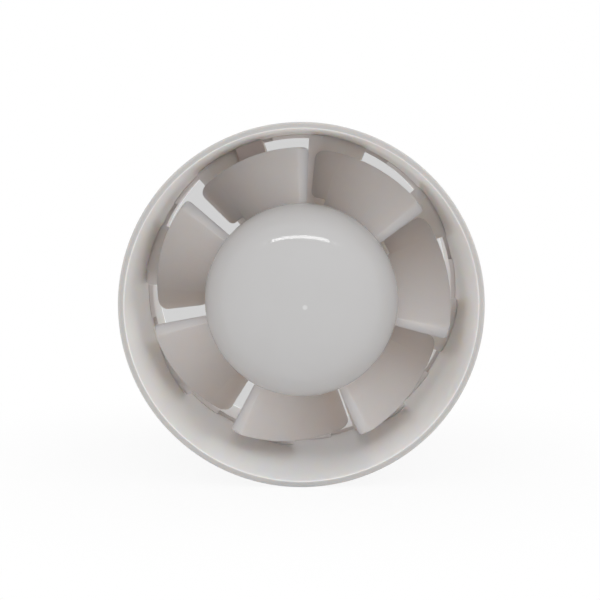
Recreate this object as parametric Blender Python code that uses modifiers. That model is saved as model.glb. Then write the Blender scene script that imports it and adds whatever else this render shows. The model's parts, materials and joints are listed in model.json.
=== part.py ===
"""In-line axial ventilation fan for a round duct of 100 mm, modelled as its separate pieces.

The pieces are drawn on a bench frame whose +Z is the fan's axis. Z is zero at the discharge end
and rises towards the intake. Seen from the intake, X points right and Y points up.
The empty fan_axis turns that frame, so that in the world the axis lies along Y, the intake faces
-Y and the origin is on the axis, half way along the duct sleeve. Sizes are in metres.
"""

import math

import bmesh
import bpy
from mathutils import Matrix

# Clearances that several pieces share
FIT_GAP = 0.0003  # between pieces that touch on the real fan
RUN_GAP = 0.0008  # along the axis, between what turns and what stands
MESH_WELD = 0.00001  # joins the loose rims of caps and poles
UNION_BITE = 0.0004  # how far a moulded detail reaches into the wall that carries it
CUT_MARGIN = 0.002  # how far a cutter reaches past what it cuts

# Flat sides and steps of the rounded shapes
SLEEVE_STEPS = 64
HUB_STEPS = 44
CUP_STEPS = 44
PLATE_STEPS = 32
RING_STEPS = 16
HOLE_STEPS = 12
SCREW_STEPS = 8
BAR_STEPS = 6
HEX_SIDES = 6
CORNER_STEPS = 3
EDGE_STEPS = 1
DOME_STEPS = 8
DOME_INNER_STEPS = 5
BLADE_STRIPS = 9
VANE_STRIPS = 5
YOKE_STEPS = 3
SHOE_STEPS = 2
POLE_FACE_STEPS = 6
SMOOTH_ANGLE = math.radians(35.0)  # a sharper turn than this stays an edge

# Duct sleeve
SLEEVE_LENGTH = 0.088
SLEEVE_OUTER_RADIUS = 0.0495
SLEEVE_WALL = 0.0018
SLEEVE_EDGE = 0.0004

# Impeller and its dome
BLADE_COUNT = 7
BLADE_LENGTH = 0.0224  # along the axis
BLADE_THICKNESS = 0.0015
BLADE_TIP_GAP = 0.0045
BLADE_FRONT_ANGLE = math.radians(89.2)  # of the first blade's leading edge
BLADE_SWEEP = math.radians(45.1)
BLADE_CAMBER = 0.12
BLADE_SETBACK = 0.0019  # from the hub's front edge to the leading edge
BLADE_FRONT_CORNER = 0.0009
BLADE_TIP_CORNER = 0.0024
BLADE_ROOT_CORNER = 0.0018
BLADE_ROOT_NOTCH = 0.002  # how far the free root edge stands off the hub
BLADE_ROOT_BITE = 0.0009
HUB_CLEARANCE = 0.0011  # from the motor cup's radius to the inside of the hub
HUB_WALL = 0.0015
HUB_WEB = 0.002
HUB_REGISTER = 0.0016  # depth of the recess that the dome's lip enters
BOSS_LENGTH = 0.0091
BOSS_WALL = 0.0032
DOME_OVERHANG = 0.0006
DOME_HEIGHT = 0.0144
DOME_SHOULDER = 2.5  # 2 is an ellipse, and more is squarer
DOME_WALL = 0.0015
DOME_LIP = 0.0012

# Guide vane frame with the motor cup and the wire channel
VANE_COUNT = 8
VANE_FRONT_ANGLE = math.radians(85.0)
VANE_SWEEP = math.radians(-19.0)
VANE_THICKNESS = 0.0013
VANE_LENGTH = 0.0111  # along the axis
VANE_TIP_GAP = 0.0006  # the ring bridges it
ROTOR_TO_VANE_GAP = 0.003
FRAME_SETBACK = 0.0136  # from the discharge plane to the motor cup
RING_HEIGHT = 0.0055
RING_WALL = 0.0007
RING_LAP = 0.0015  # how far the ring reaches over the vanes' rear ends
NOTCH_ANGLE = math.radians(60.9)
NOTCH_WIDTH = 0.0079
NOTCH_FLOOR = 0.002  # what is left of the ring's height behind a notch
SNAP_COUNT = 4
SNAP_ANGLE = math.radians(38.2)
SNAP_RADIUS = 0.0012
SNAP_HEIGHT = 0.0012  # how far a snap pip stands out of the ring
CUP_WALL = 0.0016
CUP_FLOOR = 0.0015
CUP_LIP = 0.0002  # how far the cup's edge stands in front of the stator stack
COVER_THICKNESS = 0.0012
COVER_EDGE = 0.0004
TERMINAL_SPACE = 0.006
POST_CIRCLE = 0.0185
POST_ANGLES = (math.radians(45.0), math.radians(225.0))
POST_WALL = 0.001
POST_BORE_DEPTH = 0.0045
CHANNEL_ANGLE = math.radians(110.0)
CHANNEL_WIDTH = 0.0084
CHANNEL_WALL = 0.0012
CHANNEL_SETBACK = 0.002  # from the vanes' front edges to the channel's front wall
CHANNEL_LID = 0.001
WIRE_HOLE_RADIUS = 0.0021

# Cable inlet
GROMMET_WALL = 0.0009
GROMMET_BORE = 0.0017
GROMMET_FLANGE = 0.0018
GROMMET_FLANGE_THICKNESS = 0.001
GROMMET_EDGE = 0.0006

# Motor
SHAFT_RADIUS = 0.0025
SHAFT_REAR_STUB = 0.001
SHAFT_CHAMFER = 0.0004
BEARING_WALL = 0.0022
BEARING_LENGTH = 0.0045
HOUSING_WALL = 0.0016
SHIELD_PLATE = 0.0015
SHIELD_VENT_CIRCLE = 0.0125
SHIELD_VENT_RADIUS = 0.003
RETAINER_THICKNESS = 0.0005
RETAINER_OVERLAP = 0.0016
RETAINER_EYE = 0.0009
MOTOR_STANDOFF = 0.0021
COIL_SPACE = 0.007  # from a shield's plate to the stack
STACK_LENGTH = 0.0126
ROTOR_RADIUS = 0.011
AIR_GAP = 0.0005
SHOE_DEPTH = 0.0027
SHOE_HALF_ANGLE = math.radians(34.0)
POLE_COUNT = 4
POLE_WIDTH = 0.008
COIL_DEPTH = 0.0034  # along the pole
COIL_BUILD = 0.0026  # thickness of the winding round the pole
COIL_CORNER = 0.0012
INSULATOR_WALL = 0.0007
SLEEVE_WINDOW_CORNER = 0.0003
YOKE_WIDTH = 0.0042
SHADE_WIRE_RADIUS = 0.0006
SHADE_ANGLE = math.radians(23.0)
SHADE_SLOT_DEPTH = 0.0017
CAGE_BARS = 10
CAGE_BAR_RADIUS = 0.0006
CAGE_BAR_DEPTH = 0.0014
CAGE_RING_THICKNESS = 0.002
CAGE_RING_WIDTH = 0.003
SPACER_WALL = 0.0016
BOLT_RADIUS = 0.001
BOLT_COUNT = 4
PILLAR_WALL = 0.0007
FUSE_RADIUS = 0.0009
FUSE_LENGTH = 0.007
LEAD_RADIUS = 0.00055
LEAD_HOLE_ANGLE = math.radians(315.0)
LEAD_COIL_ANGLES = (math.radians(-25.0), math.radians(-65.0))
LEAD_REACH = 0.0024  # straight run of a lead out of the block
LEAD_CONVERGE = 0.0004
LEAD_SPREAD = 0.0008  # from the hole's middle to each lead, along X and Y

# Screws, nuts and the terminal block
SCREW_RADIUS = 0.001
SCREW_HEAD_RADIUS = 0.002
SCREW_HEAD_HEIGHT = 0.0009
SCREW_EDGE = 0.0004
MOUNT_SCREW_CIRCLE = 0.016
MOUNT_SCREW_COUNT = 4
MOUNT_PAD_WALL = 0.001
BOLT_NUT_RADIUS = 0.0022
BOLT_NUT_HEIGHT = 0.0016
SHAFT_NUT_RADIUS = 0.0046
SHAFT_NUT_HEIGHT = 0.003
SHAFT_WASHER_WALL = 0.0027
SHAFT_WASHER_THICKNESS = 0.0008
BLOCK_LENGTH = 0.015
BLOCK_WIDTH = 0.008
BLOCK_HEIGHT = 0.005
BLOCK_EDGE = 0.0004
BLOCK_TURN = math.radians(20.0)
WAY_OFFSET = 0.0045  # from the block's middle to each way
WAY_BORE_RADIUS = 0.0013
WELL_OFFSET = 0.0022
WELL_RADIUS = 0.0012
CLAMP_SCREW_LENGTH = 0.0018

# Radii that follow, from the shaft outwards and from the sleeve inwards
HOLE_ON_SHAFT = SHAFT_RADIUS + FIT_GAP
BEARING_RADIUS = HOLE_ON_SHAFT + BEARING_WALL
HOUSING_BORE = BEARING_RADIUS + FIT_GAP
STATOR_BORE = ROTOR_RADIUS + AIR_GAP
SHOE_RADIUS = STATOR_BORE + SHOE_DEPTH
COIL_START = SHOE_RADIUS + FIT_GAP
YOKE_FLAT = COIL_START + COIL_DEPTH + FIT_GAP
STACK_RADIUS = YOKE_FLAT + YOKE_WIDTH
BOLT_CIRCLE = (YOKE_FLAT + STACK_RADIUS) / 2
CUP_INNER_RADIUS = STACK_RADIUS + FIT_GAP
CUP_OUTER_RADIUS = CUP_INNER_RADIUS + CUP_WALL
HUB_INNER_RADIUS = CUP_OUTER_RADIUS + HUB_CLEARANCE
HUB_OUTER_RADIUS = HUB_INNER_RADIUS + HUB_WALL
DOME_RADIUS = HUB_OUTER_RADIUS + DOME_OVERHANG
SLEEVE_INNER_RADIUS = SLEEVE_OUTER_RADIUS - SLEEVE_WALL
BLADE_TIP_RADIUS = SLEEVE_INNER_RADIUS - BLADE_TIP_GAP
VANE_TIP_RADIUS = SLEEVE_INNER_RADIUS - VANE_TIP_GAP
RING_OUTER_RADIUS = SLEEVE_INNER_RADIUS - FIT_GAP
RING_INNER_RADIUS = RING_OUTER_RADIUS - RING_WALL
CAGE_BAR_CIRCLE = ROTOR_RADIUS - CAGE_BAR_DEPTH

# Stations along the axis that follow, from the discharge end
COVER_REAR = FRAME_SETBACK + FIT_GAP
COVER_FRONT = COVER_REAR + COVER_THICKNESS
FLOOR_REAR = COVER_FRONT + FIT_GAP + TERMINAL_SPACE
FLOOR_FRONT = FLOOR_REAR + CUP_FLOOR
POST_REAR = COVER_FRONT + FIT_GAP
BLOCK_FRONT = FLOOR_REAR - FIT_GAP
BLOCK_REAR = BLOCK_FRONT - BLOCK_HEIGHT
BLOCK_MIDDLE = (BLOCK_FRONT + BLOCK_REAR) / 2
SUNK_HEAD_REAR = BLOCK_REAR + FIT_GAP
REAR_SHIELD = FLOOR_FRONT + MOTOR_STANDOFF
STACK_REAR = REAR_SHIELD + SHIELD_PLATE + COIL_SPACE
STACK_FRONT = STACK_REAR + STACK_LENGTH
STACK_MIDDLE = (STACK_REAR + STACK_FRONT) / 2
FRONT_SHIELD = STACK_FRONT + COIL_SPACE + SHIELD_PLATE
CUP_FRONT = STACK_FRONT + CUP_LIP
HUB_REAR = CUP_FRONT + RUN_GAP
BOSS_REAR = FRONT_SHIELD + FIT_GAP + RETAINER_THICKNESS + RUN_GAP
BOSS_FRONT = BOSS_REAR + BOSS_LENGTH
HUB_FRONT = BOSS_FRONT + HUB_REGISTER
BLADE_FRONT = HUB_FRONT - BLADE_SETBACK
VANE_FRONT = BLADE_FRONT - BLADE_LENGTH - ROTOR_TO_VANE_GAP
RING_FRONT = VANE_FRONT - VANE_LENGTH + RING_LAP
RING_REAR = RING_FRONT - RING_HEIGHT
CHANNEL_FRONT = VANE_FRONT - CHANNEL_SETBACK
CHANNEL_ROOF = CHANNEL_FRONT - CHANNEL_WALL
LID_FRONT = FRAME_SETBACK + CHANNEL_LID
GROMMET_Z = (LID_FRONT + CHANNEL_ROOF) / 2
WASHER_REAR = BOSS_FRONT + FIT_GAP
SHAFT_NUT_REAR = WASHER_REAR + SHAFT_WASHER_THICKNESS + FIT_GAP
SHAFT_FRONT = SHAFT_NUT_REAR + SHAFT_NUT_HEIGHT + SHAFT_REAR_STUB

# Plain colours, with roughness and metallic
WHITE_PLASTIC = ((0.78, 0.77, 0.75), 0.35, 0.0)
GLOSSY_WHITE = ((0.80, 0.80, 0.80), 0.18, 0.0)
GREY_PLASTIC = ((0.45, 0.45, 0.44), 0.5, 0.0)
BLACK_RUBBER = ((0.03, 0.03, 0.03), 0.7, 0.0)
SHEET_STEEL = ((0.55, 0.56, 0.58), 0.35, 1.0)
LAMINATED_STEEL = ((0.28, 0.28, 0.30), 0.5, 1.0)
COPPER = ((0.72, 0.36, 0.20), 0.3, 1.0)
BRONZE = ((0.55, 0.38, 0.20), 0.4, 1.0)
ALUMINIUM = ((0.75, 0.76, 0.78), 0.35, 1.0)
INSULATION = ((0.62, 0.56, 0.40), 0.6, 0.0)
LEAD_BLUE = ((0.05, 0.14, 0.42), 0.45, 0.0)
TERMINAL_CREAM = ((0.70, 0.66, 0.55), 0.5, 0.0)


def clear_scene():
    for obj in list(bpy.data.objects):
        bpy.data.objects.remove(obj, do_unlink=True)


def make_collection(name):
    collection = bpy.data.collections.new(name)
    bpy.context.scene.collection.children.link(collection)
    return collection


clear_scene()
PARTS = make_collection("axial_duct_fan")
CUTTERS = make_collection("cutters")


def make_empty(name, parent=None):
    empty = bpy.data.objects.new(name, None)
    empty.empty_display_size = SLEEVE_OUTER_RADIUS
    empty.parent = parent
    PARTS.objects.link(empty)
    return empty


def material(name, finish):
    """A Principled BSDF from a colour, a roughness and a metallic value."""
    found = bpy.data.materials.get(name)
    if found:
        return found
    colour, roughness, metallic = finish
    made = bpy.data.materials.new(name)
    made.use_nodes = True
    made.diffuse_color = (*colour, 1.0)
    shader = made.node_tree.nodes["Principled BSDF"]
    shader.inputs["Base Color"].default_value = (*colour, 1.0)
    shader.inputs["Roughness"].default_value = roughness
    shader.inputs["Metallic"].default_value = metallic
    return made


def polar(radius, angle):
    return (radius * math.cos(angle), radius * math.sin(angle))


def arc(centre, radius, start, stop, count):
    """Points on an arc, both ends included."""
    points = []
    for step in range(count + 1):
        x, y = polar(radius, start + (stop - start) * step / count)
        points.append((centre[0] + x, centre[1] + y))
    return points


def circle(radius, steps, centre=(0.0, 0.0)):
    return arc(centre, radius, 0.0, math.tau, steps)[:-1]


def turned_about(points, angle):
    cosine, sine = math.cos(angle), math.sin(angle)
    return [(x * cosine - y * sine, x * sine + y * cosine) for x, y in points]


def rounded(corners, count=CORNER_STEPS):
    """An outline from corners given as x, y and corner radius, in order round the shape."""
    outline = []
    for index, (x, y, radius) in enumerate(corners):
        before = corners[index - 1]
        after = corners[(index + 1) % len(corners)]
        if radius == 0.0:
            outline.append((x, y))
            continue
        back = math.atan2(before[1] - y, before[0] - x)
        ahead = math.atan2(after[1] - y, after[0] - x)
        turn = (ahead - back + math.pi) % math.tau - math.pi
        reach = radius / math.tan(abs(turn) / 2)
        middle = back + turn / 2
        depth = radius / math.sin(abs(turn) / 2)
        centre = (x + depth * math.cos(middle), y + depth * math.sin(middle))
        first = (x + reach * math.cos(back), y + reach * math.sin(back))
        start = math.atan2(first[1] - centre[1], first[0] - centre[0])
        bend = math.copysign(math.pi - abs(turn), -turn)
        outline += arc(centre, radius, start, start + bend, count)
    return outline


def box_outline(half_x, half_y, corner, count):
    corners = ((half_x, half_y), (-half_x, half_y), (-half_x, -half_y), (half_x, -half_y))
    return rounded([(x, y, corner) for x, y in corners], count)


def add_object(name, data, collection):
    obj = bpy.data.objects.new(name, data)
    collection.objects.link(obj)
    return obj


def turned(name, profile, steps, collection=None):
    """Turns a profile of radius and z round Z. It closes itself unless it ends on the axis."""
    mesh = bpy.data.meshes.new(name)
    edges = [(i, i + 1) for i in range(len(profile) - 1)]
    if profile[0][0] > 0.0:
        edges.append((len(profile) - 1, 0))
    mesh.from_pydata([(radius, 0.0, z) for radius, z in profile], edges, [])
    obj = add_object(name, mesh, collection or PARTS)
    screw = obj.modifiers.new("turn", "SCREW")
    screw.steps = steps
    screw.render_steps = steps
    screw.use_merge_vertices = True
    screw.merge_threshold = MESH_WELD
    return obj


def plate(name, loops, rear, front, collection=None):
    """A flat plate from an outline and its holes, between two stations of z."""
    curve = bpy.data.curves.new(name, "CURVE")
    curve.dimensions = "2D"
    curve.fill_mode = "BOTH"
    curve.extrude = (front - rear) / 2
    for loop in loops:
        spline = curve.splines.new("POLY")
        spline.points.add(len(loop) - 1)
        for point, (x, y) in zip(spline.points, loop):
            point.co = (x, y, 0.0, 1.0)
        spline.use_cyclic_u = True
    obj = add_object(name, curve, collection or PARTS)
    obj.location.z = (front + rear) / 2
    return applied(obj)


def tube(name, points, radius, closed=False, collection=None):
    curve = bpy.data.curves.new(name, "CURVE")
    curve.dimensions = "3D"
    curve.bevel_depth = radius
    curve.bevel_resolution = 2
    curve.use_fill_caps = not closed
    spline = curve.splines.new("POLY")
    spline.points.add(len(points) - 1)
    for point, position in zip(spline.points, points):
        point.co = (*position, 1.0)
    spline.use_cyclic_u = closed
    return applied(add_object(name, curve, collection or PARTS))


def rod(name, radius, rear, front, steps, centre=(0.0, 0.0), collection=None):
    """A plain round bar along the axis."""
    bpy.ops.mesh.primitive_cylinder_add(
        vertices=steps, radius=radius, depth=front - rear, location=(*centre, (rear + front) / 2)
    )
    return placed(bpy.context.object, name, collection)


def box(name, sizes, centre, collection=None):
    bpy.ops.mesh.primitive_cube_add(size=1.0, location=centre)
    obj = placed(bpy.context.object, name, collection)
    obj.data.transform(Matrix.Diagonal((*sizes, 1.0)))
    return obj


def placed(obj, name, collection):
    obj.name = name
    obj.data.name = name
    for old in list(obj.users_collection):
        old.objects.unlink(obj)
    (collection or PARTS).objects.link(obj)
    return obj


def applied(obj):
    """Replaces a curve, or an object with modifiers, by the mesh that it makes."""
    bpy.context.view_layer.update()
    graph = bpy.context.evaluated_depsgraph_get()
    mesh = bpy.data.meshes.new_from_object(obj.evaluated_get(graph))
    work = bmesh.new()
    work.from_mesh(mesh)
    bmesh.ops.remove_doubles(work, verts=work.verts, dist=MESH_WELD)
    bmesh.ops.recalc_face_normals(work, faces=work.faces)
    work.to_mesh(mesh)
    work.free()
    name, collection, where = obj.name, obj.users_collection[0], obj.matrix_world.copy()
    bpy.data.objects.remove(obj, do_unlink=True)
    mesh.name = name
    solid = add_object(name, mesh, collection)
    solid.matrix_world = where
    return solid


def tool_set(name, pieces):
    """One tool for a Boolean from several shapes that stand apart."""
    bpy.context.view_layer.update()
    work = bmesh.new()
    for piece in pieces:
        solid = applied(piece)
        solid.data.transform(solid.matrix_world)
        work.from_mesh(solid.data)
        bpy.data.objects.remove(solid, do_unlink=True)
    mesh = bpy.data.meshes.new(name)
    work.to_mesh(mesh)
    work.free()
    return add_object(name, mesh, CUTTERS)


def around(make, count, start=0.0):
    """Pieces made by make(number), turned to equal spacing round the axis."""
    pieces = []
    for index in range(count):
        piece = make(index + 1)
        bpy.context.view_layer.update()
        turn = Matrix.Rotation(start + math.tau * index / count, 4, "Z")
        piece.matrix_world = turn @ piece.matrix_world
        pieces.append(piece)
    return pieces


def combine(obj, operation, tool):
    """Unites a body with a tool or cuts the tool from it. The tool stays as a hidden guide."""
    tool.hide_render = True
    tool.display_type = "WIRE"
    step = obj.modifiers.new(tool.name, "BOOLEAN")
    step.operation = operation
    step.object = tool
    return obj


def unite(obj, tool):
    return combine(obj, "UNION", tool)


def cut(obj, tool):
    return combine(obj, "DIFFERENCE", tool)


def finished(obj, colour_name, finish, parent):
    """Applies the modifiers, shades the round faces smooth, and hangs the piece on its axis."""
    solid = applied(obj)
    solid.data.shade_smooth()
    solid.data.set_sharp_from_angle(angle=SMOOTH_ANGLE)
    solid.data.materials.clear()
    solid.data.materials.append(material(colour_name + "_of_" + solid.name, finish))
    solid.parent = parent
    return solid


def finished_each(pieces, colour_name, finish, parent):
    return [finished(piece, colour_name, finish, parent) for piece in pieces]


def radial(tool, angle, radius, z):
    """Turns a piece that was made along +Z so that it points outwards at that place."""
    outwards = Matrix.Rotation(math.radians(90.0), 4, "Y")
    spot = Matrix.Translation((radius, 0.0, z))
    tool.matrix_world = Matrix.Rotation(angle, 4, "Z") @ spot @ outwards @ tool.matrix_world
    return tool


def wrapped_plate(name, outline, front, angle_at, strips, thickness):
    """Bends a flat blank round the axis. Its x runs rearwards from the front, its y is the radius."""
    length = max(x for x, _ in outline)
    work = bmesh.new()
    work.faces.new([work.verts.new((x, y, 0.0)) for x, y in outline])
    for strip in range(1, strips):
        geometry = work.verts[:] + work.edges[:] + work.faces[:]
        place = (length * strip / strips, 0.0, 0.0)
        bmesh.ops.bisect_plane(work, geom=geometry, plane_co=place, plane_no=(1.0, 0.0, 0.0), dist=MESH_WELD)
    for vert in work.verts:
        along, radius = vert.co.x, vert.co.y
        vert.co = (*polar(radius, angle_at(along / length)), front - along)
    mesh = bpy.data.meshes.new(name)
    work.to_mesh(mesh)
    work.free()
    obj = add_object(name, mesh, CUTTERS)
    wall = obj.modifiers.new("wall", "SOLIDIFY")
    wall.thickness = thickness
    wall.offset = 0.0
    return obj


def screw_solid(name, head_rear, tip, radius=SCREW_RADIUS):
    """A pan-head screw whose head faces the discharge end."""
    seat = head_rear + SCREW_HEAD_HEIGHT
    profile = [
        (0.0, tip),
        (radius - SCREW_EDGE, tip),
        (radius, tip - SCREW_EDGE),
        (radius, seat),
        (SCREW_HEAD_RADIUS, seat),
        (SCREW_HEAD_RADIUS, head_rear + SCREW_EDGE),
        (SCREW_HEAD_RADIUS - SCREW_EDGE, head_rear),
        (0.0, head_rear),
    ]
    return turned(name, profile, SCREW_STEPS)


# Duct sleeve


def snap_pips(name, radius, inner, outer):
    """Short round pips that stand on the ring, or the pockets for them in the sleeve."""
    def one(number):
        pip = rod("%s_%d" % (name, number), radius, 0.0, outer - inner, HOLE_STEPS, collection=CUTTERS)
        bpy.context.view_layer.update()
        return radial(pip, 0.0, inner, (RING_REAR + RING_FRONT) / 2)

    return tool_set(name, around(one, SNAP_COUNT, SNAP_ANGLE))


def make_duct_sleeve(parent):
    profile = [
        (SLEEVE_OUTER_RADIUS - SLEEVE_EDGE, SLEEVE_LENGTH),
        (SLEEVE_OUTER_RADIUS, SLEEVE_LENGTH - SLEEVE_EDGE),
        (SLEEVE_OUTER_RADIUS, 0.0),
        (SLEEVE_INNER_RADIUS, 0.0),
        (SLEEVE_INNER_RADIUS, SLEEVE_LENGTH - SLEEVE_EDGE),
        (SLEEVE_INNER_RADIUS + SLEEVE_EDGE, SLEEVE_LENGTH),
    ]
    sleeve = turned("duct_sleeve", profile, SLEEVE_STEPS)
    cut(sleeve, inlet_cutter("sleeve_inlet"))
    pocket_end = RING_OUTER_RADIUS + SNAP_HEIGHT + FIT_GAP
    cut(sleeve, snap_pips("snap_pockets", SNAP_RADIUS + FIT_GAP, RING_INNER_RADIUS, pocket_end))
    return finished(sleeve, "white_plastic", WHITE_PLASTIC, parent)


def inlet_cutter(name):
    radius = GROMMET_BORE + GROMMET_WALL + FIT_GAP
    start = VANE_TIP_RADIUS - CHANNEL_WALL - CUT_MARGIN
    reach = SLEEVE_OUTER_RADIUS + CUT_MARGIN - start
    tool = rod(name, radius, 0.0, reach, RING_STEPS, collection=CUTTERS)
    return radial(tool, CHANNEL_ANGLE, start, GROMMET_Z)


def make_cable_grommet(parent):
    neck = GROMMET_BORE + GROMMET_WALL
    inner_end = VANE_TIP_RADIUS - CHANNEL_WALL
    seat = SLEEVE_OUTER_RADIUS + FIT_GAP - inner_end
    top = seat + GROMMET_FLANGE_THICKNESS
    flange = neck + GROMMET_FLANGE
    profile = [
        (flange - GROMMET_EDGE, top),
        (flange, top - GROMMET_EDGE),
        (flange, seat),
        (neck, seat),
        (neck, 0.0),
        (GROMMET_BORE, 0.0),
        (GROMMET_BORE, top),
    ]
    grommet = turned("cable_grommet", profile, RING_STEPS)
    radial(grommet, CHANNEL_ANGLE, inner_end, GROMMET_Z)
    return finished(grommet, "black_rubber", BLACK_RUBBER, parent)


# Guide vane frame


def vane_angle(share):
    """The vane lies across the air at its front edge and along the axis at its rear edge."""
    return VANE_FRONT_ANGLE + VANE_SWEEP * (2 * share - share * share)


def make_vane_blanks():
    root = CUP_OUTER_RADIUS - UNION_BITE
    tip = VANE_TIP_RADIUS
    outline = [(0.0, root), (VANE_LENGTH, root), (VANE_LENGTH, tip), (0.0, tip)]

    def one(number):
        name = "vane_%d" % number
        return wrapped_plate(name, outline, VANE_FRONT, vane_angle, VANE_STRIPS, VANE_THICKNESS)

    return tool_set("vanes", around(one, VANE_COUNT))


def radial_box(name, width, inner, outer, rear, front, angle):
    """A block that reaches outwards from one radius to another, in the cutters' collection."""
    block = box(name, (outer - inner, width, front - rear), (0.0, 0.0, 0.0), CUTTERS)
    middle = Matrix.Translation(((inner + outer) / 2, 0.0, (rear + front) / 2))
    block.matrix_world = Matrix.Rotation(angle, 4, "Z") @ middle
    return block


def make_seat_ring():
    """A thin ring round the vanes' rear ends, notched from the front beside each vane."""
    profile = [
        (RING_OUTER_RADIUS, RING_FRONT),
        (RING_OUTER_RADIUS, RING_REAR),
        (RING_INNER_RADIUS, RING_REAR),
        (RING_INNER_RADIUS, RING_FRONT),
    ]
    ring = turned("seat_ring", profile, SLEEVE_STEPS, CUTTERS)
    inner = RING_INNER_RADIUS - CUT_MARGIN
    outer = RING_OUTER_RADIUS + CUT_MARGIN

    def notch(number):
        return radial_box("notch_%d" % number, NOTCH_WIDTH, inner, outer, RING_REAR + NOTCH_FLOOR,
                          RING_FRONT + CUT_MARGIN, 0.0)

    cut(ring, tool_set("notches", around(notch, VANE_COUNT, NOTCH_ANGLE)))
    return applied(ring)


def mount_pads(name, radius, rear, front):
    def one(number):
        spot = (MOUNT_SCREW_CIRCLE, 0.0)
        return rod("%s_%d" % (name, number), radius, rear, front, HOLE_STEPS, spot, CUTTERS)

    return tool_set(name, around(one, MOUNT_SCREW_COUNT))


def cover_posts(name, radius, rear, front):
    posts = []
    for number, angle in enumerate(POST_ANGLES, 1):
        spot = polar(POST_CIRCLE, angle)
        posts.append(rod("%s_%d" % (name, number), radius, rear, front, HOLE_STEPS, spot, CUTTERS))
    return tool_set(name, posts)


def lead_hole_cutter(name, rear, front):
    spot = polar(SHIELD_VENT_CIRCLE, LEAD_HOLE_ANGLE)
    return rod(name, SHIELD_VENT_RADIUS, rear, front, HOLE_STEPS, spot, CUTTERS)


def make_guide_vane_frame(parent):
    cup = [
        (CUP_OUTER_RADIUS, CUP_FRONT),
        (CUP_OUTER_RADIUS, FRAME_SETBACK),
        (CUP_INNER_RADIUS, FRAME_SETBACK),
        (CUP_INNER_RADIUS, FLOOR_REAR),
        (0.0, FLOOR_REAR),
        (0.0, FLOOR_FRONT),
        (CUP_INNER_RADIUS, FLOOR_FRONT),
        (CUP_INNER_RADIUS, CUP_FRONT),
    ]
    frame = turned("guide_vane_frame", cup, CUP_STEPS)
    unite(frame, make_vane_blanks())
    unite(frame, make_seat_ring())
    pip_start = RING_INNER_RADIUS + UNION_BITE
    unite(frame, snap_pips("snap_pips", SNAP_RADIUS, pip_start, RING_OUTER_RADIUS + SNAP_HEIGHT))
    channel_start = CUP_OUTER_RADIUS - UNION_BITE
    unite(frame, radial_box("channel_block", CHANNEL_WIDTH, channel_start, VANE_TIP_RADIUS,
                            FRAME_SETBACK, CHANNEL_FRONT, CHANNEL_ANGLE))
    pad_top = REAR_SHIELD - FIT_GAP
    pad_radius = SCREW_RADIUS + FIT_GAP + MOUNT_PAD_WALL
    unite(frame, mount_pads("motor_pads", pad_radius, FLOOR_REAR + UNION_BITE, pad_top))
    post_radius = SCREW_RADIUS + FIT_GAP + POST_WALL
    unite(frame, cover_posts("cover_posts", post_radius, POST_REAR, FLOOR_FRONT - UNION_BITE))

    cavity_width = CHANNEL_WIDTH - 2 * CHANNEL_WALL
    cavity_end = VANE_TIP_RADIUS - CHANNEL_WALL
    cut(frame, radial_box("channel_cavity", cavity_width, CUP_OUTER_RADIUS, cavity_end,
                          FRAME_SETBACK - CUT_MARGIN, CHANNEL_ROOF, CHANNEL_ANGLE))
    wire_hole = rod("wire_hole", WIRE_HOLE_RADIUS, -CUT_MARGIN, CUP_WALL + CUT_MARGIN, HOLE_STEPS,
                    collection=CUTTERS)
    wire_z = (COVER_FRONT + FLOOR_REAR) / 2
    cut(frame, radial(wire_hole, CHANNEL_ANGLE, CUP_INNER_RADIUS, wire_z))
    cut(frame, inlet_cutter("frame_inlet"))
    screw_hole = SCREW_RADIUS + FIT_GAP
    cut(frame, mount_pads("mount_holes", screw_hole, FLOOR_REAR - CUT_MARGIN, pad_top + CUT_MARGIN))
    bore_end = POST_REAR + POST_BORE_DEPTH
    cut(frame, cover_posts("post_bores", screw_hole, POST_REAR - CUT_MARGIN, bore_end))
    cut(frame, lead_hole_cutter("lead_hole", FLOOR_REAR - CUT_MARGIN, FLOOR_FRONT + CUT_MARGIN))
    return finished(frame, "white_plastic", WHITE_PLASTIC, parent)


def make_wire_channel_lid(parent):
    width = CHANNEL_WIDTH - 2 * CHANNEL_WALL - 2 * FIT_GAP
    inner = CUP_OUTER_RADIUS + FIT_GAP
    outer = VANE_TIP_RADIUS - CHANNEL_WALL - FIT_GAP
    lid = radial_box("wire_channel_lid", width, inner, outer, FRAME_SETBACK, LID_FRONT, CHANNEL_ANGLE)
    placed(lid, "wire_channel_lid", PARTS)
    return finished(lid, "white_plastic", WHITE_PLASTIC, parent)


def make_motor_cup_cover(parent):
    rim = CUP_INNER_RADIUS - FIT_GAP
    profile = [
        (0.0, COVER_FRONT),
        (rim, COVER_FRONT),
        (rim, COVER_REAR + COVER_EDGE),
        (rim - COVER_EDGE, COVER_REAR),
        (0.0, COVER_REAR),
    ]
    cover = turned("motor_cup_cover", profile, PLATE_STEPS)
    hole = SCREW_RADIUS + FIT_GAP
    cut(cover, cover_posts("cover_holes", hole, COVER_REAR - CUT_MARGIN, COVER_FRONT + CUT_MARGIN))
    return finished(cover, "white_plastic", WHITE_PLASTIC, parent)


def make_cover_screws(parent):
    head_rear = COVER_REAR - FIT_GAP - SCREW_HEAD_HEIGHT
    tip = POST_REAR + POST_BORE_DEPTH - FIT_GAP
    screws = []
    for number, angle in enumerate(POST_ANGLES, 1):
        screw = screw_solid("cover_screw_%d" % number, head_rear, tip)
        screw.location = (*polar(POST_CIRCLE, angle), 0.0)
        screws.append(screw)
    return finished_each(screws, "steel", SHEET_STEEL, parent)


# Terminal block in the motor cup


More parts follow.
